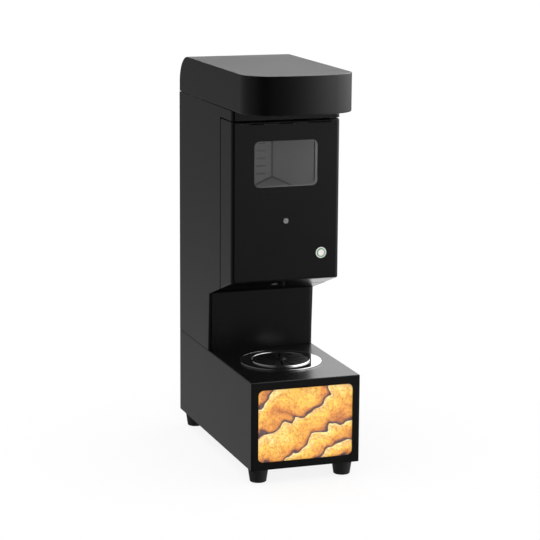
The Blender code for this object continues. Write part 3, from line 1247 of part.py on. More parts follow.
def fan_floor_z():
    return TOP_PLATE_TOP_Z + FAN_FLOOR_GAP


def fan_cover_top_z():
    return fan_floor_z() + FAN_BLADE_HEIGHT + FAN_PLATE_THICKNESS + FAN_COVER_HEADROOM + LINER


def fan_cover():
    low = TOP_PLATE_TOP_Z + TOUCH_GAP
    front = FAN_CENTRE_Y - FAN_RADIUS - FAN_COVER_FRONT_GAP
    shape = centred_box(FAN_COVER_WIDTH / 2, front, TOP_PLATE_BACK_Y, low, fan_cover_top_z())
    delete_faces(shape, lambda face: face.normal.z < -0.5)
    item = add_part("fan_cover", shape, "zinc")
    thicken(item, LINER)
    top = fan_cover_top_z()
    cut(item, rod((0, FAN_CENTRE_Y, top - LINER - CUT_OVERRUN), (0, FAN_CENTRE_Y, top + CUT_OVERRUN),
                  FAN_SHAFT_HOLE_RADIUS, ROUND_STEPS), "shaft_hole")


def fan_impeller():
    """Back plate and shaft, with leaning blades under the plate."""
    low = fan_floor_z()
    plate_low = low + FAN_BLADE_HEIGHT
    plate_high = plate_low + FAN_PLATE_THICKNESS
    shaft_top = fan_cover_top_z() + TOUCH_GAP + FAN_SHAFT_GRIP
    profile = [(0, shaft_top), (FAN_SHAFT_RADIUS, shaft_top), (FAN_SHAFT_RADIUS, plate_high),
               (FAN_RADIUS, plate_high), (FAN_RADIUS, plate_low), (FAN_HUB_RADIUS, plate_low),
               (FAN_HUB_RADIUS, low), (0, low)]
    item = turned("fan_impeller", profile, FAN_STEPS, (0, FAN_CENTRE_Y, 0), "aluminium")
    blades = bmesh.new()
    for index in range(FAN_BLADE_COUNT):
        length = FAN_RADIUS - FAN_BLADE_INNER_RADIUS
        blade = box((0, -FAN_BLADE_THICKNESS / 2, low),
                    (length, FAN_BLADE_THICKNESS / 2, plate_low + FAN_PLATE_THICKNESS / 2))
        lean = Matrix.Rotation(math.radians(FAN_BLADE_LEAN_DEG), 4, "Z")
        turn = Matrix.Rotation(math.tau * index / FAN_BLADE_COUNT, 4, "Z")
        out = Matrix.Translation((FAN_BLADE_INNER_RADIUS, 0, 0))
        place = Matrix.Translation((0, FAN_CENTRE_Y, 0)) @ turn @ out
        bmesh.ops.transform(blade, matrix=place @ lean, verts=blade.verts)
        mesh = mesh_of(blade, "blade")
        blades.from_mesh(mesh)
        bpy.data.meshes.remove(mesh)
    unite(item, blades, "blades")
    ride(item, new_pivot("fan_pivot", (0, FAN_CENTRE_Y, low)))


def fan_motor():
    low = fan_cover_top_z() + TOUCH_GAP
    high = low + FAN_MOTOR_HEIGHT
    bore = FAN_SHAFT_RADIUS + TOUCH_GAP
    bore_top = low + FAN_SHAFT_GRIP + TOUCH_GAP
    flange_top = low + FAN_MOTOR_FLANGE_HEIGHT
    profile = [(0, high), (FAN_MOTOR_RADIUS - FAN_MOTOR_EDGE, high),
               (FAN_MOTOR_RADIUS, high - FAN_MOTOR_EDGE), (FAN_MOTOR_RADIUS, flange_top),
               (FAN_MOTOR_FLANGE_RADIUS, flange_top),
               (FAN_MOTOR_FLANGE_RADIUS, low), (bore, low), (bore, bore_top), (0, bore_top)]
    turned("fan_motor", profile, ROUND_STEPS, (0, FAN_CENTRE_Y, 0), "steel")


def heater_element():
    """Serpentine tube on two strips that hold it behind the chamber."""
    strip_front = CHAMBER_BACK_Y + LINER + TOUCH_GAP
    y = (strip_front + COVER_Y - SHEET) / 2
    low = CHAMBER_FLOOR_Z + HEATER_LOW_RISE
    high = low + HEATER_RUN_LENGTH
    half_width = HEATER_RUN_PITCH * (HEATER_RUN_COUNT - 1) / 2
    bend = HEATER_RUN_PITCH / 2
    points = [(-half_width, low)]
    for run in range(HEATER_RUN_COUNT - 1):
        centre_x = -half_width + HEATER_RUN_PITCH * (run + 0.5)
        if run % 2 == 0:
            points += arc((centre_x, high), bend, 180, 0, HEATER_BEND_STEPS)
        else:
            points += arc((centre_x, low), bend, 180, 360, HEATER_BEND_STEPS)
    points.append((half_width, low if HEATER_RUN_COUNT % 2 == 0 else high))
    route = [(x, y, z) for x, z in points]
    item = add_part("heater_element", swept(route, HEATER_TUBE_RADIUS, 1, True), "steel")
    strips = bmesh.new()
    for z in (low + HEATER_STRIP_HEIGHT, high - HEATER_STRIP_HEIGHT * 2):
        add_box(strips, (-half_width - HEATER_STRIP_OVERHANG, strip_front, z),
                (half_width + HEATER_STRIP_OVERHANG, y, z + HEATER_STRIP_HEIGHT))
    unite(item, strips, "strips")


def door_shell():
    """Deep folded door with return lips round its open back."""
    outline = [(HEAD_FRONT_Y, underside_z(HEAD_FRONT_Y)), (DOOR_BACK_Y, underside_z(DOOR_BACK_Y)),
               (DOOR_BACK_Y, DOOR_TOP_Z), (HEAD_FRONT_Y, DOOR_TOP_Z)]
    shape = flatten(plate([outline], "YZ", -HALF_WIDTH, HALF_WIDTH))
    back = [face for face in shape.faces if face.normal.y > 0.99]
    bmesh.ops.inset_region(shape, faces=back, thickness=DOOR_LIP, use_even_offset=True)
    delete_faces(shape, lambda face: face.normal.y > 0.99
                 and all(abs(vert.co.x) < HALF_WIDTH - SHEET for vert in face.verts))
    bend_edges(shape, lambda edge: is_upright(edge, HEAD_FRONT_Y), DOOR_BEND_RADIUS)
    item = add_part("door_shell", shape, "black_paint")
    round_edges(item, SHEET_EDGE_RADIUS, 2)
    thicken(item, SHEET)
    y_low = HEAD_FRONT_Y - CUT_OVERRUN
    y_high = HEAD_FRONT_Y + SHEET + CUT_OVERRUN
    window = rounded_rectangle(WINDOW_WIDTH / 2, WINDOW_HEIGHT / 2, WINDOW_RADIUS, (0, WINDOW_CENTRE_Z))
    cut(item, plate([window], "XZ", y_low, y_high), "window")
    cut(item, rod((BUTTON_X, y_low, BUTTON_Z), (BUTTON_X, y_high, BUTTON_Z), BUTTON_HOLE_RADIUS),
        "button_hole")
    cut(item, rod((0, y_low, INDICATOR_Z), (0, y_high, INDICATOR_Z), INDICATOR_RADIUS + TOUCH_GAP),
        "indicator_hole")
    notch_x = HINGE_HALF_LENGTH + HINGE_END_GAP
    notch = centred_box(notch_x, y_low, HINGE_Y + KNUCKLE_RADIUS + HINGE_NOTCH_GAP,
                        HINGE_Z - KNUCKLE_RADIUS - HINGE_NOTCH_GAP, DOOR_TOP_Z + CUT_OVERRUN)
    cut(item, notch, "hinge_notch")
    slot_front = PUMP_Y - NOZZLE_RADIUS - NOZZLE_SLOT_END_GAP
    slot_low = underside_z(DOOR_BACK_Y) - CUT_OVERRUN
    slot = centred_box(NOZZLE_SLOT_HALF_WIDTH, slot_front, DOOR_BACK_Y + CUT_OVERRUN, slot_low,
                       slot_low + DOOR_LIP + UNDERSIDE_RISE / 2)
    cut(item, slot, "nozzle_slot")
    return item


def door_window_parts():
    y = DOOR_SKIN_Y + TOUCH_GAP
    centre = (0, WINDOW_CENTRE_Z)
    half_x = WINDOW_WIDTH / 2 + WINDOW_LAP
    half_z = WINDOW_HEIGHT / 2 + WINDOW_LAP
    pane = plate([rounded_rectangle(half_x, half_z, WINDOW_RADIUS, centre)], "XZ", y, y + WINDOW_THICKNESS)
    window = add_part("door_window", pane, "smoked_glass")
    y += WINDOW_THICKNESS + TOUCH_GAP
    gasket = add_part("window_gasket", plate([rounded_rectangle(half_x, half_z, WINDOW_RADIUS, centre)], "XZ",
                                             y, y + GASKET_THICKNESS), "black_rubber")
    hole = rounded_rectangle(half_x - GASKET_WIDTH, half_z - GASKET_WIDTH, WINDOW_RADIUS, centre)
    cut(gasket, plate([hole], "XZ", y - CUT_OVERRUN, y + GASKET_THICKNESS + CUT_OVERRUN), "middle")
    y += GASKET_THICKNESS + TOUCH_GAP
    back = y + INNER_PANEL_SHEET
    pan_x = half_x + INNER_PANEL_MARGIN
    pan_z = half_z + INNER_PANEL_MARGIN / 2
    pan = centred_box(pan_x, DOOR_SKIN_Y + TOUCH_GAP, back, WINDOW_CENTRE_Z - pan_z, WINDOW_CENTRE_Z + pan_z)
    delete_faces(pan, lambda face: face.normal.y < -0.5)
    panel = add_part("door_inner_panel", pan, "steel")
    thicken(panel, INNER_PANEL_SHEET)
    view = rounded_rectangle(WINDOW_WIDTH / 2, WINDOW_HEIGHT / 2, WINDOW_RADIUS, centre)
    cut(panel, plate([view], "XZ", y - CUT_OVERRUN, back + CUT_OVERRUN), "view")
    return [window, gasket, panel]


def indicator_lens():
    front = HEAD_FRONT_Y - TOUCH_GAP
    face = front - INDICATOR_FLANGE
    profile = [(0, -face), (INDICATOR_FLANGE_RADIUS - INDICATOR_FLANGE / 2, -face),
               (INDICATOR_FLANGE_RADIUS, -face - INDICATOR_FLANGE / 2), (INDICATOR_FLANGE_RADIUS, -front),
               (INDICATOR_RADIUS, -front), (INDICATOR_RADIUS, -front - INDICATOR_DEPTH),
               (0, -front - INDICATOR_DEPTH)]
    return turned("indicator_lens", profile, ROUND_STEPS, (0, 0, INDICATOR_Z), "grey_lens", axis="Y")


def knuckle_bounds():
    """Left and right end of each knuckle along the hinge."""
    half = KNUCKLE_PITCH * (KNUCKLE_COUNT - 2) / 2
    ends = [-HINGE_HALF_LENGTH] + [-half + KNUCKLE_PITCH * index for index in range(KNUCKLE_COUNT - 1)]
    ends.append(HINGE_HALF_LENGTH)
    return [(low + KNUCKLE_GAP / 2, high - KNUCKLE_GAP / 2) for low, high in zip(ends[:-1], ends[1:])]


def hinge_leaf(name, side, first):
    """One leaf: a plate with tabs that end in every second knuckle. side is 1 for up, -1 for down."""
    front = DOOR_SKIN_Y + TOUCH_GAP
    back = front + HINGE_LEAF_THICKNESS
    root = HINGE_Z + side * (KNUCKLE_RADIUS + TOUCH_GAP)
    tip = HINGE_Z + side * (HINGE_BORE_RADIUS + KNUCKLE_RADIUS) / 2
    far = HINGE_Z + side * HINGE_LEAF_HEIGHT
    middle = (root + far) / 2
    leaf = add_part(name, centred_box(HINGE_HALF_LENGTH, front, back, min(root, far), max(root, far)), "zinc")
    tabs = bmesh.new()
    tubes = bmesh.new()
    for low, high in knuckle_bounds()[first::2]:
        add_box(tabs, (low + KNUCKLE_GAP, front, min(tip, middle)),
                (high - KNUCKLE_GAP, back, max(tip, middle)))
        add_rod(tubes, (low, HINGE_Y, HINGE_Z), (high, HINGE_Y, HINGE_Z), KNUCKLE_RADIUS, KNUCKLE_STEPS)
    unite(leaf, tabs, "tabs")
    unite(leaf, tubes, "knuckles")
    reach = HINGE_HALF_LENGTH + CUT_OVERRUN
    bore = rod((-reach, HINGE_Y, HINGE_Z), (reach, HINGE_Y, HINGE_Z), HINGE_BORE_RADIUS, SMALL_ROUND_STEPS)
    cut(leaf, bore, "pin_bore")
    return leaf


def hinge_pin():
    reach = HINGE_HALF_LENGTH - KNUCKLE_GAP
    add_part("hinge_pin", rod((-reach, HINGE_Y, HINGE_Z), (reach, HINGE_Y, HINGE_Z), HINGE_PIN_RADIUS,
                              SMALL_ROUND_STEPS), "steel")


def button_parts():
    seat = HEAD_FRONT_Y - TOUCH_GAP
    face = seat - BEZEL_THICKNESS
    back = face + BEZEL_THICKNESS + BARREL_DEPTH
    ring_bore = LIGHT_RING_OUTER_RADIUS + TOUCH_GAP / 2
    ring_floor = face + LIGHT_RING_DEPTH
    cap_bore = BUTTON_CAP_RADIUS + TOUCH_GAP / 2
    cap_floor = face + BUTTON_CAP_DEPTH + BUTTON_TRAVEL + TOUCH_GAP
    edge = BEZEL_EDGE_RADIUS
    housing = [(0, -cap_floor), (cap_bore, -cap_floor), (cap_bore, -ring_floor), (ring_bore, -ring_floor),
               (ring_bore, -face), (BEZEL_RADIUS - edge, -face), (BEZEL_RADIUS, -face - edge),
               (BEZEL_RADIUS, -seat), (BARREL_RADIUS, -seat), (BARREL_RADIUS, -back), (0, -back)]
    place = (BUTTON_X, 0, BUTTON_Z)
    body = turned("button_housing", housing, ROUND_STEPS, place, "aluminium", axis="Y")
    nut_front = DOOR_SKIN_Y + TOUCH_GAP
    nut = [circle(BUTTON_NUT_RADIUS, 6, (BUTTON_X, BUTTON_Z)),
           circle((BARREL_RADIUS + cap_bore) / 2, SMALL_ROUND_STEPS, (BUTTON_X, BUTTON_Z))]
    unite(body, plate(nut, "XZ", nut_front, nut_front + BUTTON_NUT_THICKNESS), "nut")
    light_floor = ring_floor - TOUCH_GAP
    light = [(LIGHT_RING_INNER_RADIUS, -face), (LIGHT_RING_OUTER_RADIUS, -face),
             (LIGHT_RING_OUTER_RADIUS, -light_floor), (LIGHT_RING_INNER_RADIUS, -light_floor)]
    ring = turned("button_light_ring", light, ROUND_STEPS, place, "green_light", axis="Y", closed=True)
    proud = face - BUTTON_CAP_PROUD
    cap_back = face + BUTTON_CAP_DEPTH
    key = [(0, -proud), (BUTTON_CAP_RADIUS - edge, -proud), (BUTTON_CAP_RADIUS, -proud - edge),
           (BUTTON_CAP_RADIUS, -cap_back), (0, -cap_back)]
    cap = turned("button_cap", key, ROUND_STEPS, place, "aluminium", axis="Y")
    return body, ring, cap


def door():
    pivot = new_pivot("door_pivot", (0, HINGE_Y, HINGE_Z))
    body, ring, cap = button_parts()
    pieces = [door_shell(), indicator_lens(), hinge_leaf("hinge_leaf_door", -1, 1), body, ring]
    for item in pieces + door_window_parts():
        ride(item, pivot)
    button_pivot = new_pivot("button_pivot", (BUTTON_X, HEAD_FRONT_Y, BUTTON_Z))
    ride(button_pivot, pivot)
    bpy.context.view_layer.update()
    ride(cap, button_pivot)


def build():
    base_housing()
    base_bottom_plate()
    feet()
    base_rear_panel()
    mains_inlet()
    power_switch()
    picture_parts()
    power_supply()
    control_board()
    tray_parts()
    main_housing()
    underside_panel()
    rear_cover()
    lid()
    front_bulkhead()
    catch_magnets()
    door_seal()
    chamber_liner()
    hopper_floor()
    insulation()
    chamber_top()
    spout_parts()
    pump_tube()
    outlet_nozzle()
    pump_body()
    pump_rotor()
    pump_gearmotor()
    fan_cover()
    fan_impeller()
    fan_motor()
    heater_element()
    hinge_leaf("hinge_leaf_housing", 1, 0)
    hinge_pin()
    door()


remove_everything()
PARTS = new_collection(COLLECTION_NAME)
CUTTERS = new_collection("cutters")
build()
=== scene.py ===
"""Looks of the countertop nacho cheese dispenser: its finely formed pieces, finishes, studio and camera."""
import math

import bmesh
import bpy
from mathutils import Matrix, Vector


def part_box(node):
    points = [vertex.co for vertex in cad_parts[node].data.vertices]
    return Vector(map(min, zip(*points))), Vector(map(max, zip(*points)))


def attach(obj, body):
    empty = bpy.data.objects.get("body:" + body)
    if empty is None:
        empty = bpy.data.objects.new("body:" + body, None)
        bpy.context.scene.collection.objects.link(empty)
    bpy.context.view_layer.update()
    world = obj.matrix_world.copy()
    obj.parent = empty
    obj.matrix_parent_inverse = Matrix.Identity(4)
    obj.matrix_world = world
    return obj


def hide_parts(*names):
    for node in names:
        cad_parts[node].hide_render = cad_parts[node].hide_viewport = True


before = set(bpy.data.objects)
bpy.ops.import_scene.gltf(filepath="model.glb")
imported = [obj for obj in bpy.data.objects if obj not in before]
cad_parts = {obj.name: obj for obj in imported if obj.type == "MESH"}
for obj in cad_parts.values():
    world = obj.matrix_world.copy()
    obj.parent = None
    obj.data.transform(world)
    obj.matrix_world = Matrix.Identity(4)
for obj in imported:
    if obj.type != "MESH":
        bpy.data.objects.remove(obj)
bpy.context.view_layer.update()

# Sizes in metres
SHEET = 0.0015
HALF_WIDTH = 0.105
BACK_Y = 0.225
DOOR_FRONT_Y = -0.107
NECK_FRONT_Y = 0.030
NECK_TOP_Z = 0.3055
UNDERSIDE_SLOPE = 0.0465 / 0.137
TRAY_CENTRE = (0, -0.084, 0)
HINGE = (0, -0.1044, 0.647)
SPOUT_Z = 0.4805
BUTTON = (0.0695, 0, 0.401)
INDICATOR = (0, 0, 0.464)
LINER_SIDE_X = 0.080
LINER_BACK_Y = 0.203
FLOOR_LOW_Z = 0.461
FLOOR_FALL = 0.4266
COVER_MIDDLE_Y = 0.2200
PICTURE_HALF_WIDTH = 0.091
PICTURE_LOW_Z = 0.04225
PICTURE_HIGH_Z = 0.17725
VIEW_HALF_WIDTH = 0.0615
VIEW_LOW_Z = 0.528
VIEW_HIGH_Z = 0.613
OPENING_CORNER = 0.010
TRAY_HOLE_RADIUS = 0.0487
LEAF_HALF_WIDTH = 0.08595
SCREW_HEAD_RADIUS = 0.0040
# Radii of bends and folds, and widths of broken edges
SHEET_FOLD = 0.0018
COLUMN_BEND = 0.0068
LID_CORNER = 0.048
LID_ROLL = 0.053
LID_BOW = 0.005
DOOR_BEND = 0.0065
DOOR_FOLD = 0.0028
SHEET_BREAK = 0.0003
FINE_BREAK = 0.0002
# How far a cutter reaches past the sheet on each side
CUT = 0.01
FINISH = {}


# Finishes

def add_node(nodes, kind, **values):
    """Add a shader node; names with a capital are its sockets, the others its settings."""
    item = nodes.new(kind)
    for name, value in values.items():
        if name[0].isupper():
            item.inputs[name.replace("_", " ")].default_value = value
        else:
            setattr(item, name, value)
    return item


def add_ramp(nodes, *stops):
    """Add a colour ramp whose stops are given as position and colour."""
    item = nodes.new("ShaderNodeValToRGB")
    elements = item.color_ramp.elements
    while len(elements) < len(stops):
        elements.new(0.5)
    for element, (position, colour) in zip(elements, stops):
        element.position = position
        element.color = colour
    return item


def add_sum(nodes, join, operation, *values):
    """Add a maths node fed with numbers or with other nodes' outputs, and return its output."""
    item = add_node(nodes, "ShaderNodeMath", operation=operation)
    for socket, value in zip(item.inputs, values):
        if isinstance(value, (int, float)):
            socket.default_value = value
        else:
            join(value, socket)
    return item.outputs["Value"]


def add_step(nodes, join, value, low, high, at_low, at_high, curve="LINEAR"):
    """Turn a value's climb from low to high into a climb from at_low to at_high."""
    item = add_node(nodes, "ShaderNodeMapRange", interpolation_type=curve, From_Min=low, From_Max=high,
                    To_Min=at_low, To_Max=at_high)
    join(value, item.inputs["Value"])
    return item.outputs["Result"]


def add_mix(nodes, join, share, first, second, **settings):
    """Mix two colours, each a colour or another node's output, by a share."""
    item = add_node(nodes, "ShaderNodeMixRGB", **settings)
    for name, value in (("Fac", share), ("Color1", first), ("Color2", second)):
        if isinstance(value, (int, float, tuple)):
            item.inputs[name].default_value = value
        else:
            join(value, item.inputs[name])
    return item.outputs["Color"]


def own_axes(nodes, join):
    """The piece's own coordinates, as outputs named X, Y and Z."""
    place = add_node(nodes, "ShaderNodeTexCoord")
    apart = add_node(nodes, "ShaderNodeSeparateXYZ")
    join(place.outputs["Object"], apart.inputs["Vector"])
    return apart.outputs


def grey(value):
    return (value, value, value, 1.0)


def new_finish(name, dark, light, rough, patch=6.0, grain=700.0, bump=0.00004, stretch=(1, 1, 1),
               **sockets):
    """A finish whose colour drifts between two tones, with drifting roughness and a fine grain."""
    material = bpy.data.materials.new(name)
    material.use_nodes = True
    nodes, join = material.node_tree.nodes, material.node_tree.links.new
    shader = nodes["Principled BSDF"]
    for socket, value in sockets.items():
        shader.inputs[socket.replace("_", " ")].default_value = value
    place = add_node(nodes, "ShaderNodeTexCoord")
    mapping = add_node(nodes, "ShaderNodeMapping", Scale=stretch)
    join(place.outputs["Object"], mapping.inputs["Vector"])
    tone = add_node(nodes, "ShaderNodeTexNoise", Scale=patch, Detail=4.0, Roughness=0.6)
    join(mapping.outputs["Vector"], tone.inputs["Vector"])
    colour = add_ramp(nodes, (0.30, dark), (0.70, light))
    join(tone.outputs["Fac"], colour.inputs["Fac"])
    join(colour.outputs["Color"], shader.inputs["Base Color"])
    fine = add_node(nodes, "ShaderNodeTexNoise", Scale=grain, Detail=2.0, Roughness=0.5)
    join(mapping.outputs["Vector"], fine.inputs["Vector"])
    wear = add_step(nodes, join, tone.outputs["Fac"], 0.25, 0.75, rough[0], rough[1])
    join(wear, shader.inputs["Roughness"])
    relief = add_node(nodes, "ShaderNodeBump", Strength=0.6, Distance=bump)
    join(fine.outputs["Fac"], relief.inputs["Height"])
    join(relief.outputs["Normal"], shader.inputs["Normal"])
    FINISH[name] = material
    return nodes, join, shader


def picture_finish():
    """Printed film: warm golden folds that flow across it, with dusky hollows between them."""
    material = bpy.data.materials.new("picture")
    material.use_nodes = True
    nodes, join = material.node_tree.nodes, material.node_tree.links.new
    shader = nodes["Principled BSDF"]
    shader.inputs["Roughness"].default_value = 0.35
    shader.inputs["Emission Strength"].default_value = 0.55
    place = add_node(nodes, "ShaderNodeTexCoord")
    centre = add_node(nodes, "ShaderNodeMapping", Location=(0.031, 0, -0.118), Rotation=(0, 0.5, 0))
    join(place.outputs["Object"], centre.inputs["Vector"])
    drift = add_node(nodes, "ShaderNodeTexNoise", Scale=13.0, Detail=2.0, Roughness=0.5)
    join(centre.outputs["Vector"], drift.inputs["Vector"])
    swirl = add_mix(nodes, join, 0.05, centre.outputs["Vector"], drift.outputs["Color"],
                    blend_type="LINEAR_LIGHT")
    fold = add_node(nodes, "ShaderNodeTexWave", bands_direction="Z", wave_profile="SAW", Scale=6.6,
                    Distortion=1.8, Detail=0.5, Detail_Scale=7.0)
    join(swirl, fold.inputs["Vector"])
    tone = add_ramp(nodes, (0.0, (0.055, 0.030, 0.050, 1)), (0.10, (0.13, 0.045, 0.030, 1)),
                    (0.17, (0.60, 0.20, 0.022, 1)), (0.34, (0.90, 0.42, 0.045, 1)),
                    (0.60, (1.0, 0.62, 0.075, 1)), (0.82, (1.0, 0.72, 0.19, 1)),
                    (1.0, (1.0, 0.80, 0.36, 1)))
    join(fold.outputs["Fac"], tone.inputs["Fac"])
    crumb = add_node(nodes, "ShaderNodeTexNoise", Scale=260.0, Detail=6.0, Roughness=0.8)
    join(place.outputs["Object"], crumb.inputs["Vector"])
    speckle = add_ramp(nodes, (0.36, (0.50, 0.22, 0.05, 1)), (0.56, grey(1.0)))
    join(crumb.outputs["Fac"], speckle.inputs["Fac"])
    grain = add_mix(nodes, join, 0.8, tone.outputs["Color"], speckle.outputs["Color"],
                    blend_type="MULTIPLY")
    ripple = add_node(nodes, "ShaderNodeTexWave", bands_direction="DIAGONAL", wave_profile="SIN",
                      Scale=17.0, Distortion=5.0, Detail=2.0, Detail_Scale=4.0)
    join(swirl, ripple.inputs["Vector"])
    sheen = add_ramp(nodes, (0.0, (0.80, 0.55, 0.40, 1)), (0.45, grey(1.0)))
    join(ripple.outputs["Fac"], sheen.inputs["Fac"])
    whole = add_mix(nodes, join, 0.6, grain, sheen.outputs["Color"], blend_type="MULTIPLY")
    join(whole, shader.inputs["Base Color"])
    join(whole, shader.inputs["Emission Color"])
    FINISH["picture"] = material


def liner_finish():
    """Pale satin sheet of the heated chamber, with painted shade near its corners and along the floor's
    edges, and a faint painted glow though it is no lamp.
    """
    nodes, join, shader = new_finish("chamber_steel", grey(0.62), grey(0.68), (0.30, 0.36), patch=24.0,
                                     grain=260.0, bump=0.00001, stretch=(1, 1, 10), Metallic=0.25)
    axes = own_axes(nodes, join)
    side = add_sum(nodes, join, "ABSOLUTE", axes["X"])
    from_side = add_sum(nodes, join, "SUBTRACT", LINER_SIDE_X, side)
    from_back = add_sum(nodes, join, "SUBTRACT", LINER_BACK_Y, axes["Y"])
    from_corner = add_sum(nodes, join, "ADD", from_side, from_back)
    slope = add_sum(nodes, join, "MULTIPLY_ADD", side, FLOOR_FALL, FLOOR_LOW_Z)
    from_floor = add_sum(nodes, join, "SUBTRACT", axes["Z"], slope)
    nearest = add_sum(nodes, join, "MINIMUM", from_corner, from_floor)
    # Painted shade: darker within about 4 mm of the back corners and the floor's edges, where shade falls
    painted_corner_shade = add_step(nodes, join, nearest, 0.0012, 0.0042, 0.40, 1.0)
    colour = shader.inputs["Base Color"].links[0].from_socket
    shaded = add_node(nodes, "ShaderNodeVectorMath", operation="SCALE")
    join(colour, shaded.inputs[0])
    join(painted_corner_shade, shaded.inputs["Scale"])
    join(shaded.outputs["Vector"], shader.inputs["Base Color"])
    join(shaded.outputs["Vector"], shader.inputs["Emission Color"])
    # Painted light: the liner glows faintly with its shaded colour, though it is no lamp
    shader.inputs["Emission Strength"].default_value = 0.05


def cover_finish():
    """Rear cover painted outside, with its inner face left as bare zinc that glows faintly as painted
    light.
    """
    nodes, join, shader = new_finish("cover_paint", grey(0.0012), grey(0.0018), (0.25, 0.28), grain=1400.0,
                                     bump=0.000004)
    inside = add_sum(nodes, join, "LESS_THAN", own_axes(nodes, join)["Y"], COVER_MIDDLE_Y)
    colour = shader.inputs["Base Color"].links[0].from_socket
    join(add_mix(nodes, join, inside, colour, grey(0.45)), shader.inputs["Base Color"])
    # Painted light: the inner zinc face glows faintly, though it is no lamp
    join(add_sum(nodes, join, "MULTIPLY", inside, 0.036), shader.inputs["Emission Strength"])


def hinge_finish():
    """Black paint of the hinge, with painted shade in the recess above the knuckles, where its reflection
    is turned down.
    """
    nodes, join, shader = new_finish("hinge_paint", grey(0.0012), grey(0.0018), (0.25, 0.28), grain=1400.0,
                                     bump=0.000004)
    # Painted shade: the paint's reflection is turned down in the recess above the knuckles, where shade
    # falls
    recess = add_sum(nodes, join, "COMPARE", own_axes(nodes, join)["Z"], HINGE[2] + 0.0036, 0.0018)
    join(add_step(nodes, join, recess, 0.0, 1.0, 0.5, 0.0), shader.inputs["Specular IOR Level"])


def rosette_finish():
    """Moulded lens with eight pale ribs that run out from its middle."""
    nodes, join, shader = new_finish("indicator_lens", grey(0.012), grey(0.018), (0.40, 0.48), patch=200.0)
    axes = own_axes(nodes, join)
    across = add_sum(nodes, join, "SUBTRACT", axes["X"], INDICATOR[0])
    up = add_sum(nodes, join, "SUBTRACT", axes["Z"], INDICATOR[2])
    angle = add_sum(nodes, join, "ARCTAN2", across, up)
    rib = add_ramp(nodes, (0.72, grey(0.0)), (0.88, grey(0.95)))
    join(add_sum(nodes, join, "COSINE", add_sum(nodes, join, "MULTIPLY", angle, 8.0)), rib.inputs["Fac"])
    squares = [add_sum(nodes, join, "MULTIPLY", value, value) for value in (across, up)]
    reach = add_sum(nodes, join, "SQRT", add_sum(nodes, join, "ADD", *squares))
    rim = add_step(nodes, join, reach, 0.0043, 0.0047, 1.0, 0.0)
    hub = add_step(nodes, join, reach, 0.0012, 0.0017, 0.0, 1.0)
    ribbed = add_sum(nodes, join, "MULTIPLY", rim, hub)
    whole = add_mix(nodes, join, ribbed, grey(0.004), rib.outputs["Color"])
    join(whole, shader.inputs["Base Color"])
    join(whole, shader.inputs["Emission Color"])
    shader.inputs["Emission Strength"].default_value = 0.2


